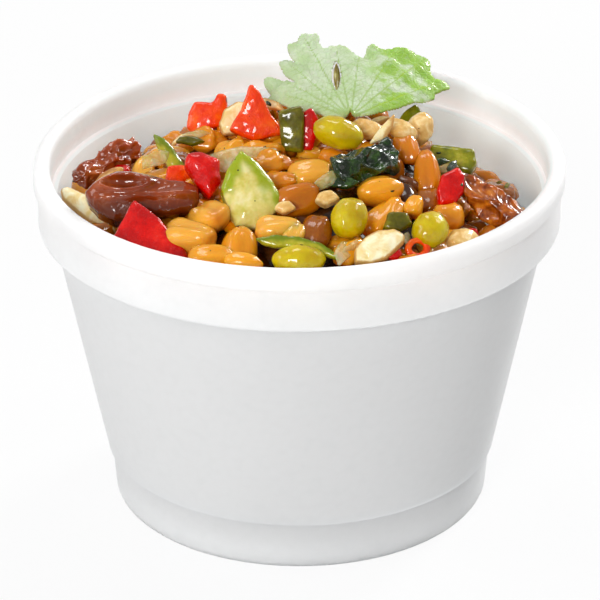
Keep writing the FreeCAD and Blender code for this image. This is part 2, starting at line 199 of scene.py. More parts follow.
# Finishes: shader maths and nodes.
class Wire:
    def __init__(self, finish, socket):
        self.finish = finish
        self.socket = socket

    def math(self, operation, *others):
        return self.finish.add("ShaderNodeMath", {"operation": operation}, [self, *others])

    def __add__(self, other):
        return self.math("ADD", other)

    def __mul__(self, other):
        return self.math("MULTIPLY", other)

    def __sub__(self, other):
        return self.math("SUBTRACT", other)

    def __rsub__(self, other):
        return self.finish.add("ShaderNodeMath", {"operation": "SUBTRACT"}, [other, self])

    __radd__ = __add__
    __rmul__ = __mul__


class Finish:
    def __init__(self, name, world=False):
        self.material = (bpy.data.worlds if world else bpy.data.materials).new(name)
        self.material.use_nodes = True
        self.tree = self.material.node_tree
        self.shader = self.tree.nodes["Background" if world else "Principled BSDF"]
        self.place = self.add("ShaderNodeTexCoord", {}, {}, "Generated" if world else "Object")

    def add(self, kind, settings, sockets, out=0):
        node = self.tree.nodes.new(kind)
        for name, setting in settings.items():
            if name == "stops":
                for index, (position, colour) in enumerate(setting):
                    ramp = node.color_ramp.elements
                    stop = ramp[index] if index < len(ramp) else ramp.new(position)
                    stop.position = position
                    stop.color = (*colour, 1)
            else:
                setattr(node, name, setting)
        pairs = enumerate(sockets) if isinstance(sockets, list) else sockets.items()
        for name, given in pairs:
            self.feed(node.inputs[name], given)
        return Wire(self, node.outputs[out])

    def feed(self, socket, given):
        if isinstance(given, Wire):
            self.tree.links.new(given.socket, socket)
        elif isinstance(given, tuple) and len(given) == 3 and socket.type == "RGBA":
            socket.default_value = (*given, 1)
        else:
            socket.default_value = given

    def set(self, **given):
        # shader sockets by name, with an underscore for each space
        for name, what in given.items():
            self.feed(self.shader.inputs[name.replace("_", " ")], what)

    def noise(self, size, detail=3.0, roughness=0.55, twist=0.0):
        # size is the length of one swell, in metres
        return self.add("ShaderNodeTexNoise", {},
                        {"Vector": self.place, "Scale": 1 / size, "Detail": detail,
                         "Roughness": roughness, "Distortion": twist}, "Fac")

    def cells(self, size, feature="F1"):
        return self.add("ShaderNodeTexVoronoi", {"feature": feature},
                        {"Vector": self.place, "Scale": 1 / size}, "Distance")

    def band(self, wire, low, high, first=0.0, last=1.0):
        return self.add("ShaderNodeMapRange", {"interpolation_type": "SMOOTHSTEP"},
                        [wire, low, high, first, last])

    def mix(self, share, first, last):
        # of the Mix node's sockets, 6, 7 and output 2 are its colours
        return self.add("ShaderNodeMix", {"data_type": "RGBA"}, {0: share, 6: first, 7: last}, 2)

    def layer(self, name):
        return self.add("ShaderNodeAttribute", {"attribute_name": name}, {}, "Fac")

    def axis(self, which):
        return self.add("ShaderNodeSeparateXYZ", {}, [self.place], which)

    def bump(self, height, size, strength=1.0):
        normal = self.add("ShaderNodeBump", {}, {"Height": height, "Distance": size,
                                                 "Strength": strength}, "Normal")
        self.set(Normal=normal)


def colour(red, green, blue):
    # screen values from 0 to 255 as the linear light that a shader takes
    def linear(share):
        return share / 12.92 if share <= 0.04045 else ((share + 0.055) / 1.055) ** 2.4
    return tuple(linear(share / 255) for share in (red, green, blue))


# Camera.
view = {
    # how far off and how many degrees up it stands; what it turns round and looks at, up the axis
    "distance": 800, "rise": 26.9, "roll": -0.3, "middle": 34.0, "aim": 40.25,
    "lens": 238.3, "reach": 20,
}


def makeCamera():
    rise = math.radians(view["rise"])
    away = view["distance"] * mm
    spot = Vector((0, -away * math.cos(rise), view["middle"] * mm + away * math.sin(rise)))
    look = Vector((0, 0, view["aim"] * mm)) - spot
    camera = added(bpy.ops.object.camera_add, "Camera", location=spot)
    camera.rotation_euler = look.to_track_quat("-Z", "Y").to_euler()
    camera.rotation_euler.rotate_axis("Z", math.radians(view["roll"]))
    camera.data.lens = view["lens"]
    camera.data.clip_end = view["reach"]
    bpy.context.scene.camera = camera


makeCamera()
print("camera set")


# The lie of the food, read from the solids.
def solidTree(node):
    obj = frame["nodes"][node]
    mesh = obj.data
    return BVHTree.FromPolygons([tuple(v.co) for v in mesh.vertices],
                                [tuple(p.vertices) for p in mesh.polygons])


toppingNodes = [name for name in frame["nodes"] if name not in ("foam_cup", "grain_salad")]
heapTree = solidTree("grain_salad")
toppingTrees = {name: solidTree(name) for name in toppingNodes}
skyHeight = 0.12


def heapTop(x, y):
    hit = heapTree.ray_cast(Vector((x, y, skyHeight)), -up)[0]
    return hit.z if hit else None


def heapReach(angle, z):
    # how far the salad reaches towards the wall at this height
    side = Vector((math.cos(angle), math.sin(angle), 0))
    hit = heapTree.ray_cast(side * skyHeight + up * z, -side)[0]
    return math.hypot(hit.x, hit.y) if hit else None


def roomAbove(x, y, z):
    # free height over a point of the heap, up to the first topping
    hits = (tree.ray_cast(Vector((x, y, z)), up)[0] for tree in toppingTrees.values())
    return min((hit.z - z for hit in hits if hit), default=skyHeight)


# The foam cup.
# light and shade are the two tones of the beads; all three colours lean cool, which is painted light
# against the warm light the food bounces onto the cup, and the inside colour leans most
foam = {"light": (246, 251, 254), "shade": (242, 247, 250), "inside": (234, 251, 255),
        "bead": 1.7, "depth": 0.05, "taper": 0.194, "footMiddle": 36.2}


def finishFoam():
    finish = Finish("expandedFoam")
    bead = finish.cells(foam["bead"] * mm, "SMOOTH_F1")
    fine = finish.noise(0.7 * mm, 2)
    mottle = finish.band(bead, 0.25, 0.85) * 0.6 + fine * 0.4
    outside = finish.mix(mottle, colour(*foam["light"]), colour(*foam["shade"]))
    # the inside is what lies nearer the axis than the middle of the tapered wall; there the colour
    # is painted cooler still, against the warm light bounced from the food
    flat = finish.add("ShaderNodeVectorMath", {"operation": "MULTIPLY"}, [finish.place, (1, 1, 0)])
    away = finish.add("ShaderNodeVectorMath", {"operation": "LENGTH"}, [flat], "Value")
    middle = finish.axis(2) * foam["taper"] + foam["footMiddle"] * mm
    coolInsideShare = finish.band(middle - away, 0.0, 0.5 * mm)
    finish.set(Base_Color=finish.mix(coolInsideShare, outside, colour(*foam["inside"])),
               Roughness=0.6, Subsurface_Weight=1.0, Subsurface_Scale=0.008,
               Subsurface_Radius=(1.0, 1.0, 1.0), Specular_IOR_Level=0.3)
    finish.bump(1 - bead * 0.8 - fine * 0.3, foam["depth"] * mm, 0.6)
    cup = frame["nodes"]["foam_cup"]
    cup.data.materials.clear()
    cup.data.materials.append(finish.material)


finishFoam()
print("cup finished")


# Food finishes.
def glazed(finish, tint, relief, depth, wet, rough, scatter, radius, reach=2.0, **others):
    # relief of this depth in mm, soft light inside, and a thin oily sauce over everything
    finish.set(Base_Color=tint, Roughness=rough, Subsurface_Weight=scatter,
               Subsurface_Scale=reach * mm, Subsurface_Radius=radius, Coat_Weight=wet,
               Coat_Roughness=0.07, Coat_IOR=1.5, Specular_IOR_Level=0.12, **others)
    finish.bump(relief, depth * mm, 0.8)
    return finish.material


def grainFinish():
    # amber and see-through, with painted light and shade: a lit tone above and a deeper, shaded tone
    # towards the crease and the underside; the darker ends are the grain's own colour, and grains
    # deep in the heap are painted brown as shade
    finish = Finish("cookedWheat")
    tone = finish.layer("tone") * 0.66
    endsAndShade = finish.layer("crease")
    blush = finish.noise(3.4 * mm, 2, 0.5)
    fine = finish.noise(0.5 * mm, 3, 0.6)
    # lit tones paint light on the upper side of each grain, deep tones paint shade in its crease and
    # underside
    lit = finish.add("ShaderNodeValToRGB", {"stops": [
        (0.0, colour(242, 186, 84)), (0.2, colour(236, 162, 30)), (0.42, colour(214, 124, 4)),
        (0.66, colour(136, 70, 4)), (1.0, colour(44, 18, 2))]}, [tone])
    deep = finish.add("ShaderNodeValToRGB", {"stops": [
        (0.0, colour(206, 108, 12)), (0.2, colour(190, 90, 4)), (0.42, colour(146, 64, 2)),
        (0.66, colour(88, 38, 2)), (1.0, colour(22, 8, 1))]}, [tone])
    body = finish.mix(finish.band(endsAndShade + blush * 0.7 - 0.35, 0.1, 0.95), lit, deep)
    wrinkle = finish.noise(1.3 * mm, 3, 0.6, 0.6)
    return glazed(finish, body, blush * 0.3 + wrinkle * 0.5 + fine * 0.25, 0.22, 0.85,
                  0.2 + fine * 0.1, 0.5, (1.0, 0.5, 0.12))


def skinFinish(name, main, deep, pale, spot=None, wet=0.9, scatter=0.25, relief=0.1, size=3.0,
               rough=0.22, side=None):
    # smooth wet skin in three tones, with specks of a spot colour and a second colour by layer
    finish = Finish(name)
    blush = finish.noise(size * mm, 3, 0.6)
    fine = finish.noise(size * 0.2 * mm, 3, 0.6)
    tint = finish.mix(finish.band(blush, 0.4, 0.7), colour(*main), colour(*deep))
    tint = finish.mix(finish.band(1 - blush, 0.52, 0.72, 0, 0.8), tint, colour(*pale))
    if side:
        # on the cut greens the layer marks their skin; on the raisin by the wall it marks painted
        # shade
        skin = finish.layer("skin")
        tint = finish.mix(finish.band(skin + blush * 0.24 - 0.12, 0.1, 0.9), tint, colour(*side))
    if spot:
        speck = finish.band(finish.cells(size * 0.8 * mm), 0.075, 0.04)
        tint = finish.mix(speck, tint, colour(*spot))
    return glazed(finish, tint, blush * 0.6 + fine * 0.6, relief, wet, rough + fine * 0.12,
                  scatter, (1.0, 0.4, 0.2), reach=2.5)


def creamFinish(name, main, deep, pale, edge):
    # cut nut or kernel: pale inside, browner towards its border
    finish = Finish(name)
    grain = finish.noise(2.6 * mm, 4, 0.6, 0.6)
    fine = finish.noise(0.5 * mm, 3, 0.6)
    tint = finish.mix(finish.band(grain, 0.4, 0.68), colour(*main), colour(*deep))
    tint = finish.mix(finish.band(1 - grain, 0.5, 0.7), tint, colour(*pale))
    skin = finish.layer("skin")
    tint = finish.mix(finish.band(skin + fine * 0.5 - 0.25, 0.35, 0.9), tint, colour(*edge))
    return glazed(finish, tint, grain * 0.6 + fine * 0.5, 0.12, 0.4, 0.34 + fine * 0.2, 0.3,
                  (1.0, 0.7, 0.4))


def clearFinish(name, main, pale):
    # soft translucent slice
    finish = Finish(name)
    veil = finish.noise(2.4 * mm, 3, 0.6, 0.8)
    fine = finish.noise(0.5 * mm, 3)
    tint = finish.mix(finish.band(veil, 0.38, 0.66), colour(*main), colour(*pale))
    return glazed(finish, tint, veil * 0.6 + fine * 0.4, 0.14, 1.0, 0.16 + fine * 0.14, 0.4,
                  (1.0, 0.2, 0.1), Alpha=0.3 + 0.25 * veil)


def leafFinish():
    # pale underside with a net of fine veins, livelier green at its right
    finish = Finish("herbLeaf")
    vein = finish.layer("vein")
    across = finish.axis(0)
    web = finish.cells(1.1 * mm, "DISTANCE_TO_EDGE")
    patch = finish.noise(7 * mm, 4, 0.6)
    fine = finish.noise(0.8 * mm, 3)
    lively = finish.band(across, 0.011, 0.018) * finish.band(patch, 0.36, 0.5)
    blade = finish.mix(finish.band(patch, 0.4, 0.62), colour(200, 216, 184), colour(184, 206, 158))
    blade = finish.mix(lively, blade, colour(150, 188, 78))
    blade = finish.mix(finish.band(web, 0.1, 0.0, 0, 0.3), blade, colour(166, 196, 134))
    strong = finish.mix(lively, colour(154, 184, 104), colour(160, 192, 40))
    tint = finish.mix(finish.band(vein, 0.1, 0.8, 0, 0.8), blade, strong)
    return glazed(finish, tint, finish.band(web, 0.0, 0.2) * 0.6 + fine * 0.4, 0.14, 0.25,
                  0.4 + fine * 0.15, 0.35, (0.6, 1.0, 0.4))


finishes = {
    "grain": grainFinish(),
    "leaf": leafFinish(),
    "pea": skinFinish("olivePea", (206, 184, 4), (188, 158, 2), (220, 202, 34), scatter=0.3,
                      size=5.0, relief=0.05),
    "nut": creamFinish("toastedNut", (234, 194, 122), (214, 164, 84), (248, 224, 170),
                       (176, 120, 62)),
    "almond": creamFinish("slicedAlmond", (250, 232, 184), (236, 206, 134), (254, 246, 214),
                          (206, 160, 92)),
    # the raisin's side tone is painted shade on the lower part of the raisin by the wall; on the
    # raisin at the back it darkens both ends
    "raisin": skinFinish("soakedRaisin", (150, 62, 16), (126, 48, 12), (180, 92, 36), wet=1.0,
                         size=6.0, rough=0.12, side=(98, 36, 5), relief=0.16),
    "goldRaisin": skinFinish("goldenRaisin", (176, 88, 12), (92, 28, 6), (208, 128, 36), wet=1.0,
                             size=2.6, rough=0.16),
    "orangePepper": skinFinish("orangePepper", (250, 78, 0), (236, 50, 0), (252, 110, 6),
                               size=4.0, scatter=0.12, relief=0.6, wet=0.7),
    "redPepper": skinFinish("redPepper", (218, 8, 2), (184, 0, 2), (232, 36, 18), size=4.0,
                            scatter=0.12, relief=0.5, wet=0.7),
    "greenSkin": skinFinish("greenPepper", (104, 100, 4), (74, 70, 2), (146, 140, 20)),
    "youngGreen": skinFinish("springGreen", (186, 176, 40), (150, 150, 14), (214, 204, 100),
                             side=(112, 130, 8)),
    "greenFlesh": skinFinish("cucumberFlesh", (226, 214, 132), (198, 186, 60), (240, 232, 178),
                             spot=(40, 44, 16), side=(156, 170, 20), scatter=0.4, size=4.0),
    "onion": clearFinish("softOnion", (206, 190, 112), (238, 230, 190)),
    "spinach": skinFinish("wetSpinach", (26, 54, 8), (6, 20, 4), (56, 92, 20), wet=1.0, size=2.4,
                          scatter=0.05, relief=0.9, rough=0.12),
    "oliveGreen": skinFinish("oliveGreen", (146, 146, 16), (96, 104, 6), (186, 178, 62)),
    "bud": skinFinish("leafBud", (128, 112, 30), (70, 56, 10), (196, 190, 120), size=5.0),
    "speck": skinFinish("blackSpeck", (34, 24, 12), (14, 8, 4), (60, 44, 22), wet=0.5),
    # sauce brown, kept near black as painted shade in the gaps of the heap
    "sauceAndGapShade": skinFinish("darkSauceGapShade", (46, 20, 3), (18, 8, 2), (96, 50, 8), wet=1.0,
                        scatter=0.1, relief=0.5, size=4.0),
}
print("finishes mixed")


# Whole toppings, made over their solids.
whole = {
    # voxel, rounding passes, growth, folds (size, depth, how much longer they run), finish
    "pea_top": (0.32, 3, (1.0, 1.0, 1.0), (5.0, 0.3, 1.0), "pea"),
    "pea_middle": (0.32, 3, (1.0, 1.0, 1.1), (4.0, 0.3, 1.0), "pea"),
    "pea_right": (0.32, 3, (1.0, 1.0, 1.0), (4.0, 0.3, 1.0), "pea"),
    "pea_front": (0.32, 3, (1.0, 1.0, 1.0), (4.6, 0.3, 1.0), "pea"),
    "nut_back": (0.32, 2, (1.0, 1.0, 1.0), (4.0, 0.5, 1.0), "nut"),
    "nut_middle": (0.32, 2, (1.1, 1.1, 1.1), (4.0, 0.5, 1.0), "nut"),
    "nut_left": (0.32, 2, (1.1, 1.1, 1.1), (4.0, 0.5, 1.0), "nut"),
    "nut_rim": (0.32, 2, (1.0, 1.0, 1.0), (4.0, 0.5, 1.0), "nut"),
    "raisin_back": (0.27, 8, (0.95, 1.0, 1.05), (3.0, 2.3, 1.9), "raisin"),
    "raisin_right": (0.27, 7, (1.12, 1.1, 1.2), (6.4, 2.6, 1.3), "goldRaisin"),
    "spinach_leaf": (0.27, 6, (1.06, 1.3, 2.0), (6.4, 2.4, 1.2), "spinach"),
}


folding = {
    # shares of ridges and of finer creases, which percentile stays in place, one piece from the next
    "ridges": 0.7, "creases": 0.3, "finer": 2.3, "outermost": 85, "apart": (3.1, 7.7, 1.3),
}


def meshAxes(points):
    # middle of a piece and its own axes, the longest first
    middle = points.mean(0)
    return middle, np.linalg.svd(points - middle, full_matrices=False)[2]


def fold(obj, size, depth, stretch, seed):
    # soft ridges that run along the piece, with finer creases between them
    points = corners(obj)
    middle, axes = meshAxes(points)
    local = (points - middle) @ axes.T / mm
    normals = np.empty(len(points) * 3)
    obj.data.vertices.foreach_get("normal", normals)
    normals = normals.reshape(-1, 3)
    where = local / np.array((stretch, 1.0, 1.0)) / size + seed * np.array(folding["apart"])
    push = np.empty(len(points))
    for index, spot in enumerate(where):
        ridge = 1 - 2 * abs(noise.noise(Vector(spot)))
        fine = 1 - 2 * abs(noise.noise(Vector(spot * folding["finer"])))
        push[index] = folding["ridges"] * ridge ** 2 + folding["creases"] * fine
    push -= np.percentile(push, folding["outermost"])
    setCorners(obj, points + normals * (push * depth * mm)[:, None])


def borderShade(obj):
    # browner towards both ends of a nut
    points = corners(obj)
    middle, axes = meshAxes(points)
    along = np.abs((points - middle) @ axes[0])
    return np.clip(along / along.max() * 1.5 - 0.8, 0, 1)


def makeWhole(node, voxel, passes, growth, folds, finish, seed):
    obj = bpy.data.objects.new(node + "_food", frame["nodes"][node].data.copy())
    bpy.context.scene.collection.objects.link(obj)
    editAll(obj, bpy.ops.mesh.remove_doubles, threshold=0.01 * mm)
    apply(obj, "REMESH", mode="VOXEL", voxel_size=voxel * mm)
    apply(obj, "SMOOTH", factor=0.5, iterations=passes)
    points = corners(obj)
    middle = points.mean(0)
    setCorners(obj, middle + (points - middle) * np.array(growth))
    fold(obj, *folds, seed)
    apply(obj, "SMOOTH", factor=0.45, iterations=2)
    paint(obj, "skin", borderShade(obj))
    smoothed(obj)
    finishPiece(obj, finish, node)


for seed, (node, how) in enumerate(whole.items(), start=1):
    makeWhole(node, *how, seed)
print("whole toppings made")


# Cut toppings, each from its own outline.
cuts = {
    # outline in mm, seen square on; thick; tilt from level; yaw; dome; finish; edges with a skin
    "pepper_front": ([(-0.4, 7.6), (-2.4, 3.4), (-5.0, -1.2), (1.4, -4.2), (10.4, -5.6),
        (8.6, -1.8), (4.4, 3.6)], 2.8, 42, 0, 0.8, "redPepper"),
    "pepper_middle": ([(-0.4, 4.4), (3.2, 2.6), (3.2, -1.4), (0.8, -4.6), (-1.4, -2.0),
        (-3.2, 2.0), (-2.6, 4.0)], 3.4, 46, 8, 1.4, "redPepper"),
    "pepper_back": ([(-2.4, 2.6), (1.0, 2.5), (1.9, 4.4), (3.4, 4.2), (3.8, 1.6), (2.8, -1.6),
        (-0.2, -3.2), (-1.4, -4.4), (-3.8, -2.4), (-3.4, 0.8)], 2.8, 58, -6, 0.9, "orangePepper"),
    "pepper_peak": ([(-5.2, -2.6), (-2.6, 1.4), (-0.8, 5.8), (0.6, 4.6), (3.0, 0.0), (5.2, -3.6),
        (-0.6, -4.8)], 2.8, 62, 4, 0.5, "orangePepper"),
    "pepper_strip": ([(-1.6, 2.8), (0.2, 3.9), (1.6, 1.8), (1.1, -0.8), (0.5, -4.0), (-1.5, -4.2)],
        2.0, 68, 0, 0.2, "redPepper"),
    "pepper_right": ([(-1.6, -0.8), (-0.4, 1.6), (2.8, 2.8), (4.0, 1.2), (3.4, -1.8), (1.4, -4.0),
        (-1.8, -4.2)], 3.0, 48, 12, 0.8, "redPepper"),
    "green_strip": ([(-2.5, 3.2), (0.4, 4.0), (2.0, 4.3), (2.5, 0.6), (2.3, -4.4), (-1.5, -4.2),
        (-2.3, -0.4)], 2.2, 68, -4, 0.3, "greenSkin"),
    "green_dart": ([(-3.2, 4.2), (-1.2, 3.2), (0.8, 1.2), (2.4, -1.2), (3.0, -3.6), (1.4, -4.0),
        (-0.4, -2.2), (-2.0, 0.6)], 2.0, 48, 0, 0.7, "youngGreen", (0, 1), (1, 2), (2, 3)),
    "green_chunk": ([(-1.4, 7.6), (1.6, 5.0), (4.2, 1.6), (5.6, -1.2), (4.8, -3.8), (1.0, -7.4),
        (-3.0, -6.6), (-4.2, -3.0), (-5.4, 0.6), (-3.8, 4.2)], 4.6, 50, 4, 1.3, "greenFlesh",
        (0, 1), (1, 2), (2, 3), (9, 0), (8, 9)),
    "green_arc": ([(-7.8, 0.6), (-4.0, 1.2), (0.6, 0.8), (4.0, -0.2), (6.6, -2.0), (7.8, -3.8),
        (4.4, -2.5), (0.6, -1.4), (-3.0, -1.2), (-6.0, -0.8)], 1.7, 46, 0, 0.2, "youngGreen",
        (0, 1), (1, 2), (2, 3), (3, 4), (4, 5)),
    "green_right": ([(-4.2, 2.6), (0.6, 2.4), (3.8, 2.2), (4.6, -0.4), (3.4, -2.8), (0.6, -2.2),
        (-2.4, -3.0), (-4.8, -0.4)], 3.0, 42, -8, 0.8, "oliveGreen"),
    "green_back": ([(-3.0, -1.6), (-1.4, 0.8), (1.2, 2.5), (2.6, 0.6), (3.0, -2.2), (0.0, -2.6)],
        2.4, 54, 0, 0.4, "oliveGreen"),
    "raisin_left": ([(-10.4, 0.6), (-7.4, 3.1), (-4.6, 4.4), (-1.4, 4.4), (1.8, 3.6), (5.4, 2.9),
        (8.2, 2.5), (10.4, 1.5), (10.6, -1.5), (9.8, -3.1), (4.2, -4.0), (-0.2, -4.8),
        (-5.0, -5.0), (-7.8, -3.6), (-9.6, -1.5)], 5.0, 46, 0, 1.8, "raisin"),
    "onion_plate": ([(-6.6, 1.0), (0.0, 2.8), (6.8, 2.4), (6.6, -1.4), (0.0, -3.0), (-6.4, -2.0)],
        0.9, 36, 0, 0.7, "onion"),
    "onion_slice": ([(3.4, 2.2), (1.7, -0.9), (-1.3, -2.3), (-3.6, -2.1), (-1.4, 0.2), (1.0, 1.7)],
        1.0, 44, 0, 0.4, "onion"),
    "almond_wall": ([(-5.0, 4.6), (-3.8, 5.2), (-0.4, 3.4), (2.8, 0.4), (4.8, -2.6), (5.6, -5.0),
        (3.2, -4.0), (0.2, -2.2), (-2.6, 0.4), (-4.6, 2.6)], 2.2, 34, 0, 0.8, "almond"),
    "almond_left": ([(-3.6, -3.6), (-3.0, -1.0), (-0.8, 1.6), (1.6, 3.0), (3.6, 3.0), (2.8, 1.0),
        (0.4, -1.6), (-1.8, -3.6)], 2.2, 44, 0, 0.8, "nut", (1, 2), (2, 3)),
    "almond_top": ([(-3.0, -1.0), (-2.0, 1.6), (0.8, 3.2), (3.4, 2.8), (2.8, 0.0), (0.2, -3.0),
        (-2.2, -3.2)], 2.6, 56, 0, 0.6, "almond"),
    "almond_front": ([(-4.6, -3.0), (-4.5, -0.4), (-2.8, 1.6), (-0.4, 2.8), (2.4, 3.2), (4.4, 2.2),
        (4.5, 1.0), (2.9, -0.6), (1.0, -2.2), (-1.6, -3.2)], 2.8, 48, 0, 1.0, "almond"),
    "almond_back": ([(2.6, 3.0), (2.4, 0.4), (0.8, -1.8), (-2.4, -3.0), (-1.4, -1.4), (0.2, 0.7)],
        1.3, 52, 0, 0.3, "almond", (0, 1), (1, 2)),
}
cutting = {
    # lumps: size and depth; domeEdge and border: how far from the outline each fades
    "voxel": 0.26, "bevel": 0.45, "round": 4, "grow": 1.06, "lumps": [(4.5, 0.7), (1.2, 0.12)],
    "domeEdge": 1.6, "border": 0.5, "skinWide": 1.1, "skinUneven": 0.6, "skinLumps": 2.2,
}
raisinFace = {
    # a ring of this middle and half size with a hollow in it, and a ridge across below it
    "middle": (-3.3, 1.9), "size": (4.8, 1.7), "ring": 1.5, "ringWide": 0.3, "hollow": 0.8,
    "hollowWide": 0.7, "ridge": 0.9, "ridgeWide": 0.9, "ridgeLow": 0.8, "ridgeRise": 0.06,
    "ridgeStart": -9,
}


def edgeGaps(points, outline, edges):
    # distance of flat points from the nearest of some edges of an outline
    gaps = []
    for start, end in edges:
        first = np.array(outline[start])
        run = np.array(outline[end]) - first
        share = np.clip(((points - first) @ run) / (run @ run), 0, 1)
        gaps.append(np.hypot(*(points - first - share[:, None] * run).T))
    return np.min(gaps, 0)


def raisinRelief(points):
    # raises the face of the wrinkled raisin and gives its painted shade, deeper below
    face = raisinFace
    x, y = points[:, :2].T / mm
    away = np.hypot(*((points[:, :2] / mm - face["middle"]) / face["size"]).T)
    rise = np.exp(-((away - 1) / face["ringWide"]) ** 2) * face["ring"]
    rise -= np.exp(-(away / face["hollowWide"]) ** 2) * face["hollow"]
    ridge = np.exp(-((y + face["ridgeLow"] - x * face["ridgeRise"]) / face["ridgeWide"]) ** 2)
    rise += ridge * face["ridge"] * (x > face["ridgeStart"])
    points[:, 2] += rise * mm * (points[:, 2] > 0)
    # painted shade: more towards the lower part and the back face of the raisin
    return np.clip(0.2 - y * 0.2 - (points[:, 2] / mm - 3) * 0.08, 0, 1)


def cutShape(name, outline, thick, dome, finish, skinEdges=()):
    # a slab of this outline with soft edges, its face up, in mm round its own middle
    obj = added(bpy.ops.mesh.primitive_circle_add, name, vertices=len(outline), radius=1,
                fill_type="NGON")
    outline = [(x * cutting["grow"], y * cutting["grow"]) for x, y in outline]
    flat = np.array([(x, y, -thick / 2) for x, y in outline])
    turnedRight = sum((b[0] - a[0]) * (b[1] + a[1]) for a, b in zip(flat, np.roll(flat, -1, 0)))
    setCorners(obj, (flat if turnedRight < 0 else flat[::-1]) * mm)
    editAll(obj, bpy.ops.mesh.extrude_region_move,
            TRANSFORM_OT_translate={"value": (0, 0, thick * mm)})
    editAll(obj, bpy.ops.mesh.normals_make_consistent, inside=False)
    apply(obj, "BEVEL", width=min(cutting["bevel"], thick * 0.3) * mm, segments=2)
    apply(obj, "REMESH", mode="VOXEL", voxel_size=cutting["voxel"] * mm)
    apply(obj, "SMOOTH", factor=0.5, iterations=cutting["round"])
    points = corners(obj)
    flat = points[:, :2] / mm
    gaps = edgeGaps(flat, outline, [(number - 1, number) for number in range(len(outline))])
    rise = dome * (1 - np.exp(-gaps / cutting["domeEdge"]))
    points[:, 2] += rise * mm * (points[:, 2] > -thick * 0.3 * mm)
    skin = np.zeros(len(points))
    # on the raisin the skin layer carries painted shade, not skin
    if finish == "raisin":
        skin = raisinRelief(points)
    elif skinEdges:
        uneven = np.array([noise.noise(Vector(spot) / (cutting["skinLumps"] * mm))
                           for spot in points])
        wide = cutting["skinWide"] * (1 + thick ** 2 * 0.05) * (1.3 if dome > 1 else 1)
        wide = wide * (1 + cutting["skinUneven"] * uneven)
        skin = np.exp(-(edgeGaps(flat, outline, skinEdges) / wide) ** 2)
    elif finish == "almond":
        skin = np.exp(-(gaps / cutting["border"]) ** 2)
    setCorners(obj, points)
    paint(obj, "skin", skin)
    for size, depth in cutting["lumps"]:
        swell(obj, size, depth)
    smoothed(obj)
    return obj


def standUp(obj, middle, tilt, yaw):
    # its face leans back from level by the tilt, towards the back of the cup
    obj.rotation_euler = (math.radians(tilt), 0, math.radians(yaw))
    obj.location = middle
    settle(obj)


def boxMiddle(node):
    low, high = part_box(node)
    return (Vector(low) + Vector(high)) / 2


for node, (outline, thick, tilt, yaw, dome, finish, *skinEdges) in cuts.items():
    obj = cutShape(node + "_food", outline, thick, dome, finish, skinEdges)
    standUp(obj, boxMiddle(node), tilt, yaw)
    finishPiece(obj, finish, node)
print("cut toppings made")


# The heap's core, smaller than its solid, under the grains; its near-black sauce brown is partly
# painted shade for the gaps between the grains.
heap = {
    "sink": 2.6, "wallGap": 0.5, "rings": 46, "around": 144, "wallRows": 12, "floor": 4.2,
    # the search for its edge: first height, a step inwards, and the reach if nothing is met
    "height": 60, "inwards": 0.8, "reach": 45,
    # x, y, radius and depth of each dip
    "dips": [(45, -1, 10, 4.5), (30, 14, 11, 3.5)],
}


def dip(x, y):
    # where the food lies lower than its solid
    return max(depth * math.exp(-math.hypot(x / mm - east, y / mm - north) ** 2 / wide ** 2)
               for east, north, wide, depth in heap["dips"]) * mm


def heapEdge(angle):
    # the outermost point where the heap still has a top
    reach = heapReach(angle, heap["height"] * mm) or heap["reach"] * mm
    for _ in range(3):
        top = heapTop(*polar(reach - heap["inwards"] * mm, angle)) or heap["height"] * mm
        level = top - heap["sink"] * mm
        reach = heapReach(angle, level) or reach
    return reach - heap["wallGap"] * mm, level


def makeCore():
    # rings over the top, rows down the side, and a point in the middle of each end
    around = heap["around"]
    angles = [2 * math.pi * step / around for step in range(around)]
    edges = [heapEdge(angle) for angle in angles]
    points = [(0, 0, heapTop(0.1 * mm, 0.1 * mm) - heap["sink"] * mm)]
    for ring in range(1, heap["rings"] + 1):
        share = ring / heap["rings"]
        for angle, (reach, level) in zip(angles, edges):
            x, y = polar(share * reach, angle)
            top = heapTop(x, y)
            z = top - heap["sink"] * mm if top and ring < heap["rings"] else level
            points.append((x, y, z - dip(x, y)))
    for row in range(1, heap["wallRows"] + 1):
        share = row / heap["wallRows"]
        for angle, (reach, level) in zip(angles, edges):
            start = level - dip(*polar(reach, angle))
            z = start + (heap["floor"] * mm - start) * share
            out = (heapReach(angle, z) or reach) - heap["wallGap"] * mm
            points.append((*polar(out, angle), z))
    points.append((0, 0, heap["floor"] * mm))
    rows = heap["rings"] + heap["wallRows"]
    last = 1 + (rows - 1) * around
    steps = [(step, (step + 1) % around) for step in range(around)]
    faces = [(0, 1 + step, 1 + after) for step, after in steps]
    for low in range(1, last, around):
        faces += [(low + step, low + around + step, low + around + after, low + after)
                  for step, after in steps]
    faces += [(last + step, len(points) - 1, last + after) for step, after in steps]
    core = joined("salad_core", np.array(points), faces)
    apply(core, "SMOOTH", factor=0.5, iterations=2)
    finishPiece(core, "sauceAndGapShade", "grain_salad")


makeCore()
print("core laid")


# The grains.
grainKind = {
    "length": 9.0, "width": 6.2, "thick": 5.8, "plump": 0.94, "square": 2.7, "taper": 0.17,
    "crease": 0.35, "creaseWide": 0.26, "wave": 0.04, "fineWave": 0.008,
}


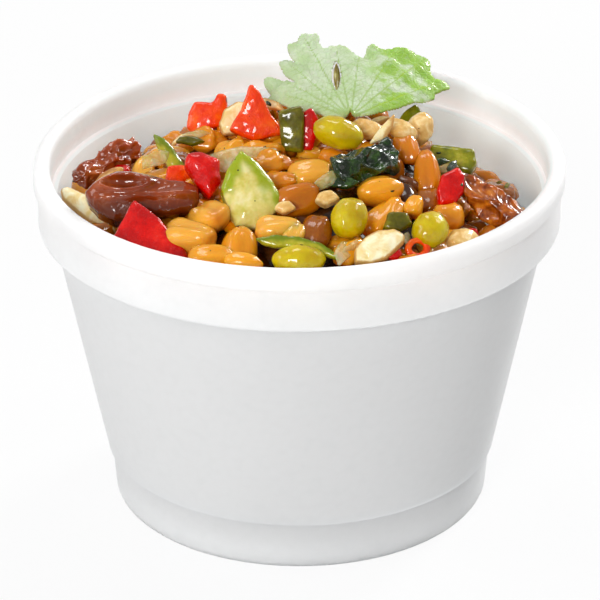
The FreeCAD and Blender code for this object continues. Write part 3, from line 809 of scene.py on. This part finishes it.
def grainShape(segments, rings, seed, crinkle):
    # one plump kernel: a round end, a narrower end with its germ, and a crease down one side
    ball = added(bpy.ops.mesh.primitive_uv_sphere_add, "kernel", segments=segments,
                 ring_count=rings, radius=0.5)
    points, faces = takenApart(ball)
    along, over, high = points[:, 2] * 2, points[:, 0] * 2, points[:, 1] * 2
    square = grainKind["square"]
    block = (abs(along) ** square + abs(over) ** square + abs(high) ** square) ** (-1 / square)
    along, over, high = along * block, over * block, high * block
    taper = (1 - grainKind["taper"] * along) * 0.5
    shade = np.exp(-(over / grainKind["creaseWide"]) ** 2) * (high > 0) * (1 - along ** 4)
    waves = np.random.default_rng(seed).uniform(-1, 1, (5, 4))
    ripple = sum(w[0] * np.sin(5 * (along * w[1] + over * w[2] + high * w[3]) + 6 * w[1])
                 for w in waves) * (grainKind["wave"] + crinkle)
    fine = sum(np.sin(11 * (along * w[2] * 0.5 + over * w[3] + high * w[1]) + 9 * w[0])
               for w in waves) * (grainKind["fineWave"] + crinkle * 0.25)
    swollen = (1 + ripple + fine) * grainKind["plump"]
    body = np.stack([along * 0.5 * grainKind["length"] * swollen,
                     over * taper * grainKind["width"] * swollen,
                     high * taper * grainKind["thick"] * swollen
                     - grainKind["crease"] * shade * 0.9], 1) * mm
    # the crease share of dark is painted shade in the groove; the darker ends are the kernel's own
    # colour
    ends = np.clip(np.abs(along) * 1.4 - 0.85, 0, 1)
    dark = np.clip(shade * 0.3 + ends * 0.4 * (along > 0) + ends * 0.8, 0, 1)
    return body, faces, dark


def spread(name, shapes, laid):
    # joins turned and moved copies of the shapes into one piece, their undersides painted darker as
    # shade
    points, faces, tones, darks, count = [], [], [], [], 0
    for place, turn, size, tone, which in laid:
        body, pattern, dark = shapes[which]
        turned = (body * np.array(size)) @ np.array(Euler(turn).to_matrix()).T
        points.append(turned + np.array(place))
        faces += [tuple(index + count for index in face) for face in pattern]
        tones.append(np.full(len(body), tone))
        # painted shade: darker the further a point lies below the grain's top
        depth = (turned[:, 2].max() - turned[:, 2]) / np.ptp(turned[:, 2])
        darks.append(np.clip(dark * 0.6 + np.clip(depth * 1.5 - 0.55, 0, 1), 0, 1))
        count += len(body)
    obj = joined(name, np.concatenate(points), faces, tone=np.concatenate(tones),
                 crease=np.concatenate(darks))
    finishPiece(obj, "grain")


# Grains that lie on top: place in mm, yaw and pitch in degrees, length, width, tone, shape.
heroGrains = [
    (-31, 2, 80, 40, 9.0, 5.6, 0.1, 0), (-21, -28.8, -32, 8, 12.2, 7.6, 0.2, 1),
    (-17, -24.6, -66, 30, 11.6, 7.4, 0.2, 2), (-11.5, -34, 80, 50, 8.6, 7.4, 0.4, 0),
    (-4, -31, 2, 0, 9.4, 5.8, 0.15, 1), (-16.5, -38, 8, 0, 9.6, 6.2, 0.35, 0),
    (-10.5, -41, 0, 0, 7.6, 5.6, 0.3, 2), (-13, -1.5, 10, 20, 6.8, 5.4, 0.3, 3),
    (-18, 4.5, 0, 10, 6.4, 5.2, 0.5, 4), (-7, -4, 4, 0, 8.4, 5.0, 0.4, 3),
    (2.5, -12.5, 6, 6, 10.0, 7.8, 0.22, 0), (-0.5, -22, 10, 10, 10.6, 7.6, 0.75, 1),
    (3, -31, 70, 40, 8.0, 6.4, 0.95, 2), (15.7, -17.5, 16, 10, 9.4, 6.8, 0.3, 2),
    (16.6, -24, 50, 18, 11.0, 6.0, 0.4, 3), (22, -21.5, 70, 20, 5.6, 4.0, 0.3, 0),
    (27.5, -25, -14, 10, 10.4, 7.6, 0.25, 1), (21, -2.5, 110, 40, 7.6, 4.8, 0.6, 2),
    (25, -7.5, 96, 46, 10.4, 6.0, 0.6, 0), (-1, -32.5, 60, 20, 5.6, 4.6, 0.1, 0),
    (-7, -12, 30, 0, 7.6, 6.0, 0.5, 4), (-3.5, -15.5, -10, 0, 7.6, 5.6, 0.55, 3),
    (-5.5, -9.5, 20, 0, 7.6, 5.2, 0.45, 4), (9.5, -35.5, 40, 10, 7.6, 5.0, 0.3, 0),
]
onTop = {
    # shapes (seed and crinkle); roll either way; then the grains that fill the back of the heap
    "crinkles": [(1, 0.012), (2, 0.018), (3, 0.024), (4, 0.06), (5, 0.08)], "roll": 30, "seed": 5,
    "fillSeed": 8, "reach": 42, "pitch": 8.6, "from": 3.0, "room": 60, "sunk": 0.8,
}
inHeap = {
    # how deep each layer lies, its turn, its lightest and darkest tone; then clear is how far the
    # upper layer keeps from the grains on top
    # the deeper layer's darker tones are painted shade
    "layers": [(2.5, 0.0, 0.25, 1.05), (4.9, 2.1, 0.95, 1.45)], "upper": 3, "clear": 5.2,
    "shapes": (11, 12, 13), "seed": 7, "reach": 47, "pitch": 6.4, "stray": 0.8, "tilt": 26,
    "edge": 2.0,
}


def sunflower(reach, pitch, turn=0.0):
    # evenly spread places in mm, in a spiral out from the middle
    spacing = pitch / math.sqrt(math.pi)
    for number in range(int((reach / spacing) ** 2)):
        yield number, *polar(spacing * math.sqrt(number + 0.5), number * golden + turn)


def laidGrain(x, y, z, turn, *rest):
    # x and y in mm, the three turns in degrees; gives them in metres and radians
    return ((x * mm, y * mm, z), tuple(math.radians(angle) for angle in turn), *rest)


def grainsOnTop():
    shapes = [grainShape(28, 18, seed, crinkle) for seed, crinkle in onTop["crinkles"]]
    laid = []
    rng = random.Random(onTop["seed"])
    roll = onTop["roll"]
    for x, y, yaw, pitch, length, width, tone, which in heroGrains:
        size = (length / grainKind["length"], width / grainKind["width"], width / grainKind["width"])
        z = heapTop(x * mm, y * mm) + 1.0 * mm - 0.25 * width * mm
        laid.append(laidGrain(x, y, z, (rng.uniform(-roll, roll), -pitch, yaw), size, tone, which))
    rng = random.Random(onTop["fillSeed"])
    for number, x, y in sunflower(onTop["reach"], onTop["pitch"]):
        yaw, pitch = rng.uniform(0, 360), rng.uniform(0, 30)
        tone, scale = rng.random(), rng.uniform(0.85, 1.12)
        # only over the back of the heap, where no topping lies
        if y < onTop["from"]:
            continue
        top = heapTop(x * mm, y * mm)
        if roomAbove(x * mm, y * mm, top) < onTop["room"] * mm:
            continue
        z = top - onTop["sunk"] * mm - dip(x * mm, y * mm)
        laid.append(laidGrain(x, y, z, (rng.uniform(-roll, roll), -pitch, yaw),
                              (scale, scale, scale * 0.95), tone * 0.6, number % len(shapes)))
    spread("wheat_on_top", shapes, laid)


def grainsInHeap():
    shapes = [grainShape(12, 8, seed, 0.01) for seed in inHeap["shapes"]]
    laid = []
    rng = random.Random(inHeap["seed"])
    stray = inHeap["stray"]
    for sink, turn, light, dark in inHeap["layers"]:
        for _, x, y in sunflower(inHeap["reach"], inHeap["pitch"], turn):
            x += rng.uniform(-stray, stray)
            y += rng.uniform(-stray, stray)
            yaw, tone, scale = rng.uniform(0, 360), rng.random(), rng.uniform(0.85, 1.1)
            tilt = [rng.uniform(-1, 1) * inHeap["tilt"] for _ in range(2)]
            top = heapTop(x * mm, y * mm)
            if top is None:
                continue
            wall = heapReach(math.atan2(y, x), top - sink * mm)
            if wall is None or math.hypot(x, y) * mm > wall - inHeap["edge"] * mm:
                continue
            if sink < inHeap["upper"] and any(math.hypot(x - hero[0], y - hero[1]) < inHeap["clear"]
                                              for hero in heroGrains):
                continue
            z = top - sink * mm - dip(x * mm, y * mm)
            # a deeper layer takes darker tones: painted shade
            laid.append(laidGrain(x, y, z, (*tilt, yaw), (scale,) * 3,
                                  light + (dark - light) * tone, rng.randrange(len(shapes))))
    spread("wheat_in_heap", shapes, laid)
    print("grains in the heap:", len(laid))


grainsOnTop()
grainsInHeap()
print("grains laid")


# Small bits on top, one piece for each kind.
shapes = {
    "chip": [(-1.0, -0.5), (0.1, -0.9), (1.0, -0.3), (0.7, 0.8), (-0.5, 0.9)],
    "shard": [(-1.0, -0.6), (0.4, -0.5), (1.0, 0.3), (0.2, 0.7), (-0.8, 0.4)],
    "blade": [(-1.0, -0.1), (-0.2, -0.5), (0.9, -0.1), (0.3, 0.5), (-0.6, 0.4)],
}
bits = {
    # finish, then shape, half length, half width, thick, x, y, lift, tilt, yaw for each, in mm
    "red_bits": ("redPepper", [
        ("chip", 2.2, 1.8, 1.8, -35.2, 2.6, 2.6, 50, 10),
        ("shard", 1.6, 2.6, 1.6, -34.2, -2.8, 2.4, 60, 60),
        ("chip", 1.7, 1.5, 1.5, 17.8, -38.0, 1.6, 50, 30),
        ("chip", 1.5, 2.0, 1.6, 33.2, -24.6, 2.0, 40, 0),
        ("chip", 1.8, 1.4, 1.4, 20.0, 24.0, 0.6, 20, 40),
        ("shard", 2.2, 1.4, 1.4, -14.0, 26.0, 0.6, 10, 80)]),
    "orange_bits": ("orangePepper", [
        ("chip", 2.8, 2.2, 1.8, -23.8, -11.4, 2.6, 46, 20),
        ("shard", 2.2, 1.6, 1.5, 4.0, 30.0, 0.6, 0, 10),
        ("chip", 2.0, 1.6, 1.5, 30.0, 14.0, 0.6, 0, 70)]),
    "green_bits": ("greenSkin", [
        ("chip", 2.9, 2.1, 2.2, 18.6, -28.6, 3.2, 46, 10),
        ("shard", 3.0, 1.5, 1.4, -21.4, 2.6, 3.2, 40, -20),
        ("blade", 1.6, 0.9, 0.8, -43.0, 1.0, 2.4, 40, 30),
        ("blade", 1.4, 1.1, 0.7, 40.6, -9.6, 5.4, 60, 60),
        ("blade", 1.0, 0.7, 0.6, 39.6, -1.0, 2.2, 40, 20),
        ("chip", 2.0, 1.4, 1.4, -2.0, 34.0, 0.6, 10, 30),
        ("shard", 2.4, 1.3, 1.4, 26.0, 20.0, 0.6, 0, 120),
        ("chip", 1.8, 1.3, 1.3, -28.0, 18.0, 0.6, 0, 0)]),
    "onion_bits": ("onion", [
        ("shard", 3.6, 2.4, 1.0, -27.8, -5.4, 3.2, 46, 30),
        ("shard", 3.4, 2.6, 0.8, 8.4, -38.0, 1.8, 52, 60),
        ("blade", 3.8, 1.6, 0.8, 10.2, -36.4, 2.6, 60, 50),
        ("shard", 2.4, 1.4, 0.9, 29.0, -4.4, 3.2, 40, 10),
        ("shard", 2.2, 1.2, 1.0, 20.4, -31.4, 2.8, 50, 80),
        ("shard", 3.2, 2.0, 0.8, -8.0, -12.0, 2.6, 36, -8),
        ("blade", 3.4, 1.6, 1.0, -20.0, 3.4, 2.8, 44, 8),
        ("shard", 2.6, 1.6, 1.0, -16.0, 16.0, 1.0, 10, 40),
        ("shard", 2.8, 1.6, 1.0, 12.0, 26.0, 1.0, 8, 0),
        ("blade", 3.0, 1.4, 1.0, 32.0, 6.0, 1.0, 30, 70)]),
    "spinach_bits": ("spinach", [
        ("shard", 3.4, 2.0, 1.2, 8.4, -19.4, 1.4, 44, -16),
        ("blade", 2.6, 1.6, 0.9, 27.6, -3.2, 3.4, 60, 20),
        ("shard", 2.4, 1.2, 0.9, 30.0, -5.6, 3.2, 50, 60),
        ("blade", 2.0, 1.2, 0.8, -43.6, 1.6, 2.2, 50, 40),
        ("blade", 2.6, 1.4, 0.8, -8.0, 18.0, 1.0, 20, 70),
        ("shard", 2.8, 1.8, 0.8, 18.0, 30.0, 1.0, 10, 20)]),
    "pale_kernels": ("nut", [
        ("blade", 2.7, 2.9, 2.8, 5.4, -23.6, 2.8, 40, 10),
        ("blade", 2.4, 2.4, 2.4, -2.6, -27.4, 3.4, 50, 0),
        ("blade", 2.6, 2.8, 2.6, 8.0, 20.0, 1.0, 10, 50),
        ("blade", 2.8, 2.8, 2.6, -30.0, 10.0, 1.0, 10, 0)]),
    "almond_bits": ("almond", [
        ("blade", 4.2, 2.0, 1.2, -5.2, 9.8, 3.4, 60, -48),
        ("blade", 3.6, 1.8, 1.2, 16.0, 12.0, 1.0, 20, 30),
        ("blade", 4.0, 1.8, 1.3, -24.0, 24.0, 1.0, 10, 60)]),
}


def madeSoFar():
    # every visible piece but the cup, as one tree to rest things on
    points, faces, count = [], [], 0
    for obj in bpy.context.scene.objects:
        if obj.type == "MESH" and obj.name not in frame["nodes"]:
            points.append(corners(obj))
            faces += [tuple(index + count for index in p.vertices) for p in obj.data.polygons]
            count += len(points[-1])
    return BVHTree.FromPolygons(np.concatenate(points).tolist(), faces)


def makeBits(name, finish, items):
    parts = []
    for shape, long, wide, thick, x, y, lift, tilt, yaw in items:
        outline = [(a * long, b * wide) for a, b in shapes[shape]]
        part = cutShape(name, outline, thick, 0.4, finish)
        height = heapTop(x * mm, y * mm) + (lift - thick / 2) * mm
        standUp(part, Vector((x * mm, y * mm, height)), tilt, yaw)
        parts.append(part)
    pickOnly(*parts)
    bpy.ops.object.join()
    parts[0].name = name
    finishPiece(parts[0], finish)


for name, (finish, items) in bits.items():
    makeBits(name, finish, items)
print("small bits laid")


# A slice of chilli: its ring of flesh.
chilli = {"place": (22.4, -34.2), "lift": 1.6, "ring": 1.7, "flesh": 0.62, "tilt": 52, "yaw": 30,
          "oval": (1.15, 0.85, 1.0)}


def makeChilli():
    x, y = [share * mm for share in chilli["place"]]
    turn = Euler((math.radians(chilli["tilt"]), 0, math.radians(chilli["yaw"])))
    ring = added(bpy.ops.mesh.primitive_torus_add, "chilli_ring", major_segments=40,
                 minor_segments=16, location=(x, y, heapTop(x, y) + chilli["lift"] * mm),
                 rotation=turn, major_radius=chilli["ring"] * mm,
                 minor_radius=chilli["flesh"] * mm)
    ring.scale = chilli["oval"]
    settle(ring)
    swell(ring, 1.6, 0.5)
    smoothed(ring)
    finishPiece(ring, "orangePepper", slot="red_pepper")


makeChilli()
print("chilli laid")


# Flecks of herb and pepper.
flecks = {
    # how many, smallest and largest size, flatness, finish, seed
    "herb_flecks": (60, (0.35, 0.8), 0.16, "spinach", 21),
    "pepper_specks": (80, (0.12, 0.22), 0.7, "speck", 22),
}
fleckReach = 44


def scatter(name, count, sizes, flat, finish, seed):
    # flecks that lie on whatever is on top, turned to its slope
    tree = madeSoFar()
    body, pattern = takenApart(added(bpy.ops.mesh.primitive_ico_sphere_add, name, subdivisions=1,
                                     radius=1))
    rng = random.Random(seed)
    points, faces = [], []
    for _ in range(count):
        away, angle = fleckReach * mm * math.sqrt(rng.random()), rng.uniform(0, 2 * math.pi)
        size = rng.uniform(*sizes)
        shape = np.array((size * rng.uniform(0.5, 1.3), size * rng.uniform(0.3, 0.7), size * flat))
        yaw = rng.uniform(0, 2 * math.pi)
        spot, normal = tree.ray_cast(Vector((*polar(away, angle), skyHeight)), -up)[:2]
        if not spot:
            continue
        turn = normal.to_track_quat("Z", "Y").to_matrix() @ Euler((0, 0, yaw)).to_matrix()
        faces += [tuple(index + len(points) * len(body) for index in face) for face in pattern]
        ragged = np.array([rng.uniform(0.55, 1.25) for _ in body])[:, None]
        points.append((body * ragged * shape * mm) @ np.array(turn).T + np.array(spot))
    finishPiece(joined(name, np.concatenate(points), faces), finish)


for name, (count, sizes, flat, finish, seed) in flecks.items():
    scatter(name, count, sizes, flat, finish, seed)
print("flecks scattered")


# The herb leaf.
leafShape = {
    # outline in mm from the stalk end, right edge first
    "outline": [
        (0, 0), (2, 0.8), (6, 2.5), (10, 4.4), (12, 5.8), (13.6, 7.0), (15.2, 7.2), (17.6, 9.0),
        (16.9, 9.9), (19.0, 11.8), (21.0, 13.5), (20.0, 14.4), (17.6, 14.2), (16.9, 15.4),
        (16.3, 16.9), (16.6, 18.6), (15.9, 20.7), (14.0, 21.2), (11.4, 21.7), (9.2, 22.0),
        (7.6, 21.6), (6.2, 21.2), (5.3, 22.0), (4.4, 22.0), (3.6, 21.2), (3.3, 19.4), (2.7, 18.0),
        (2.0, 18.3), (1.2, 18.9), (0.4, 20.4), (-0.6, 21.6), (-1.7, 22.0), (-2.6, 21.1),
        (-3.6, 21.6), (-5.0, 20.8), (-5.8, 22.6), (-6.0, 25.1), (-7.2, 25.2), (-8.2, 26.2),
        (-9.4, 26.8), (-10.3, 25.8), (-10.5, 24.4), (-11.4, 23.7), (-12.5, 23.8), (-12.3, 21.5),
        (-11.8, 19.4), (-10.4, 18.0), (-12.2, 18.9), (-14.2, 18.7), (-13.8, 16.6), (-12.9, 14.6),
        (-11.6, 12.8), (-10.2, 10.8), (-12.2, 12.6), (-13.9, 13.8), (-15.5, 14.7), (-17.3, 15.0),
        (-17.2, 12.8), (-16.5, 10.9), (-15.8, 10.0), (-17.0, 9.2), (-15.0, 7.7), (-13.0, 5.9),
        (-11.2, 4.2), (-8, 3.0), (-5, 1.4), (-2.4, 0.6)],
    "step": 0.28, "thick": 0.45, "bend": 55.0, "tilt": 19.5, "teeth": 0.06, "toothLong": 1.3,
    "slit": (-2.6, 12.7, 1.6, 8.6),     # middle, width and length
    # waves: height, length across and along, how far out they are in full; lift of ridge and vein
    "wave": 0.45, "waveSteps": (0.9, 0.8), "waveFull": 24, "ridgeLift": 0.55, "veinLift": 0.18,
}
veins = {
    # bearing and length of each main vein, its half width and thinning, and the ridge it rides on
    "main": [(36, 21), (52, 22), (66, 20), (84, 18), (97, 20), (110, 26), (125, 20), (136, 18),
             (147, 15)],
    "wide": 0.24, "thinning": 0.6, "ridge": 0.9, "ridgeWide": 0.4, "ridgeSpread": 0.09,
    # side veins, at these twelfths of a main one: lean, more at each, length, half width, strength
    "twelfths": range(3, 12), "lean": 34, "leanMore": 2, "side": 5.2, "sideWide": 0.15,
    "sideShare": 0.7,
}
budForm = {"wide": 0.86, "long": 0.47, "high": 0.8, "sunk": 0.1, "pointed": 0.45, "ridges": 0.12}


def makeBud(tilt, shift):
    # the closed bud that shows through the slit
    slitX, slitY, slitWide, slitLong = leafShape["slit"]
    bud = added(bpy.ops.mesh.primitive_uv_sphere_add, "leaf_bud", segments=24, ring_count=24,
                radius=0.5)
    x, y, z = corners(bud).T
    long = z * 2
    girth = (1 - budForm["pointed"] * long ** 2) * slitWide
    girth = girth * (1 + budForm["ridges"] * np.cos(3 * np.arctan2(y, x)))
    setCorners(bud, np.stack([x * budForm["wide"] * girth + slitX,
                              long * slitLong * budForm["long"] + slitY,
                              y * budForm["high"] * girth - budForm["sunk"]], 1) * mm)
    bud.rotation_euler = (tilt, 0, 0)
    settle(bud)
    setCorners(bud, corners(bud) + shift)
    editAll(bud, bpy.ops.mesh.normals_make_consistent, inside=False)
    smoothed(bud)
    finishPiece(bud, "bud")


def leafEdge():
    # outline with fine teeth between its corners
    ring = []
    spots = [Vector(spot) for spot in leafShape["outline"]]
    for _ in range(2):      # round the corners off
        pairs = zip(spots, spots[1:] + spots[:1])
        spots = [a.lerp(b, share) for a, b in pairs for share in (0.25, 0.75)]
    for first, after in zip(spots, spots[1:] + spots[:1]):
        run = after - first
        teeth = max(1, round(run.length / leafShape["toothLong"]))
        out = Vector((run.y, -run.x)).normalized()
        for number in range(teeth * 5):
            share = number / (teeth * 5)
            bulge = abs(math.sin(share * teeth * math.pi)) * leafShape["teeth"]
            ring.append(first + run * share + out * bulge)
    return ring


def againstOutline(flat, edge):
    # for each point: whether it is inside, how near the outline is, and the nearest spot on it
    inside = np.zeros(len(flat), bool)
    nearest = np.full(len(flat), 1e9)
    snap = flat.copy()
    for a, b in zip(edge, np.roll(edge, -1, 0)):
        cross = (a[1] > flat[:, 1]) != (b[1] > flat[:, 1])
        slope = (b[0] - a[0]) / (b[1] - a[1] + 1e-12)
        inside ^= cross & (flat[:, 0] < slope * (flat[:, 1] - a[1]) + a[0])
        run = b - a
        share = np.clip(((flat - a) @ run) / (run @ run + 1e-12), 0, 1)
        spot = a + share[:, None] * run
        gap = np.hypot(*(flat - spot).T)
        closer = gap < nearest
        nearest[closer] = gap[closer]
        snap[closer] = spot[closer]
    return inside, nearest, snap


def inSlit(flat):
    slitX, slitY, slitWide, slitLong = leafShape["slit"]
    aside = (flat[:, 1] - slitY) / (slitLong / 2)
    narrow = np.clip(1 - aside ** 2, 0.02, 1) ** 0.5     # pointed at both ends
    return np.hypot((flat[:, 0] - slitX) / (slitWide / 2 * narrow), aside) <= 1


def removeCorners(obj, gone):
    pickOnly(obj)
    bpy.ops.object.mode_set(mode="EDIT")
    bpy.context.tool_settings.mesh_select_mode = (True, False, False)
    bpy.ops.mesh.select_all(action="DESELECT")
    bpy.ops.object.mode_set(mode="OBJECT")
    obj.data.vertices.foreach_set("select", gone)
    bpy.ops.object.mode_set(mode="EDIT")
    bpy.ops.mesh.delete(type="VERT")
    bpy.ops.object.mode_set(mode="OBJECT")


def veinsAt(flat):
    # strength of the nearest vein at each point, and height of the ridges that carry the main ones
    strength = np.zeros(len(flat))
    rise = np.zeros(len(flat))
    for bearing, reach in veins["main"]:
        turn = math.radians(bearing)
        along = flat @ np.array(polar(1, turn))
        side = flat @ np.array((-math.sin(turn), math.cos(turn)))
        width = veins["wide"] * np.clip(1 - along / reach * veins["thinning"], 0.2, 1)
        beside = (along > 0) & (along < reach)
        strength = np.maximum(strength, np.exp(-(side / width) ** 2) * beside)
        width = veins["ridgeWide"] + along * veins["ridgeSpread"]
        rise += veins["ridge"] * np.exp(-(side / width) ** 2) * beside
        for number in veins["twelfths"]:
            lean = math.radians(veins["lean"] + veins["leanMore"] * number)
            length = veins["side"] * (1.1 - number / 14)
            start = along - reach * number / 12
            for hand in (-1, 1):
                out = start * math.cos(lean) + side * hand * math.sin(lean)
                off = side * hand * math.cos(lean) - start * math.sin(lean)
                fade = ((out > 0) & (out < length)) * (1 - out / length * 0.6) * veins["sideShare"]
                strength = np.maximum(strength, np.exp(-(off / veins["sideWide"]) ** 2) * fade)
    return strength, rise


def makeLeaf():
    edge = np.array([tuple(spot) for spot in leafEdge()])
    step = leafShape["step"]
    low, high = edge.min(0) - step, edge.max(0) + step
    size = high - low
    leaf = added(bpy.ops.mesh.primitive_grid_add, "herb_leaf", size=1,
                 x_subdivisions=int(size[0] / step), y_subdivisions=int(size[1] / step))
    flat = (corners(leaf)[:, :2] + 0.5) * size + low
    inside, nearest, snap = againstOutline(flat, edge)
    keep = inside & ~inSlit(flat)
    removeCorners(leaf, ~keep)

    # the border goes out to the outline, then the leaf gets its veins, waves and bend
    flat, nearest, snap = flat[keep], nearest[keep], snap[keep]
    border = nearest < step * 0.9
    flat[border] = snap[border]
    vein, rise = veinsAt(flat)
    x, y = flat.T
    acrossStep, alongStep = leafShape["waveSteps"]
    wave = leafShape["wave"] * np.sin(x * acrossStep + 1.0) * np.sin(y * alongStep)
    wave = wave * np.clip(np.hypot(x, y) / leafShape["waveFull"], 0, 1)
    out = leafShape["bend"] + rise * leafShape["ridgeLift"] - vein * leafShape["veinLift"] + wave
    turn = x / leafShape["bend"]
    lifted = np.stack([out * np.sin(turn), y, out * np.cos(turn) - leafShape["bend"]], 1)
    setCorners(leaf, lifted * mm)
    paint(leaf, "vein", vein)
    apply(leaf, "SOLIDIFY", thickness=leafShape["thick"] * mm, offset=0)
    apply(leaf, "SMOOTH", factor=0.4, iterations=1)

    # onto the CAD leaf: its lowest front point is the stalk end
    low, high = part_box("garnish_leaf")
    tilt = math.radians(leafShape["tilt"])
    leaf.rotation_euler = (tilt, 0, 0)
    settle(leaf)
    own = corners(leaf)
    shift = (np.array(low) + np.array(high)) / 2 - (own.min(0) + own.max(0)) / 2
    shift[2] = low[2] - own[:, 2].min()
    setCorners(leaf, own + shift)
    smoothed(leaf)
    finishPiece(leaf, "leaf", "garnish_leaf")
    makeBud(tilt, shift)


makeLeaf()
print("leaf made")


# Floor, light and background.
studio = {
    "skyLeft": 0.45, "skyRight": 0.31, "floor": 0.72, "floorGlow": 0.9, "aim": (0, 0, 0.05),
    # strength, size and place of each lamp, in metres
    "lamps": {
        "key": (12.8, 0.42, (-0.45, -1.35, 0.72)), "over": (1.9, 0.36, (-0.14, 0.38, 1.0)),
        "back": (13.5, 0.35, (0.8, 1.0, 0.6)), "side": (3.6, 0.6, (-1.2, -0.3, 0.85)),
        "high": (2.2, 0.4, (0.85, 0.35, 1.0)),
    },
}


def makeFloor():
    # matt, but white to the camera, in reflections and through anything clear
    floor = added(bpy.ops.mesh.primitive_plane_add, "floor", size=6, location=(0, 0, 0))
    finish = Finish("paleFloor")
    finish.set(Base_Color=(studio["floor"],) * 3, Roughness=0.9, Specular_IOR_Level=0.0)
    camera, glossy, through = [finish.add("ShaderNodeLightPath", {}, {}, "Is %s Ray" % kind)
                               for kind in ("Camera", "Glossy", "Transmission")]
    glow = finish.add("ShaderNodeEmission", {}, {"Color": (1.0, 1.0, 1.0), "Strength": 1.0})
    share = (camera + glossy + through).math("MINIMUM", 1.0) * studio["floorGlow"]
    blend = finish.add("ShaderNodeMixShader", {}, {"Fac": share})
    finish.tree.links.new(finish.shader.outputs[0], blend.socket.node.inputs[1])
    finish.tree.links.new(glow.socket, blend.socket.node.inputs[2])
    finish.tree.links.new(blend.socket, finish.tree.nodes["Material Output"].inputs["Surface"])
    floor.data.materials.append(finish.material)
    floor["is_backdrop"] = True


def makeLights():
    for name, (strength, size, place) in studio["lamps"].items():
        lamp = added(bpy.ops.object.light_add, name, type="AREA", location=place)
        look = Vector(studio["aim"]) - Vector(place)
        lamp.rotation_euler = look.to_track_quat("-Z", "Y").to_euler()
        lamp.data.size = size
        lamp.data.energy = strength
    room = Finish("softRoom", world=True)
    bpy.context.scene.world = room.material
    level = room.add("ShaderNodeMapRange", {}, [room.axis(0), -0.7, 0.8, studio["skyLeft"],
                                                studio["skyRight"]])
    room.set(Color=(1.0, 1.0, 1.0), Strength=level)


makeFloor()
makeLights()
bpy.context.scene.view_settings.view_transform = "Standard"
print("studio lit")

low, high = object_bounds()
sizes = {"cad": [list(corner) for corner in cadBox], "visual": [list(low), list(high)]}
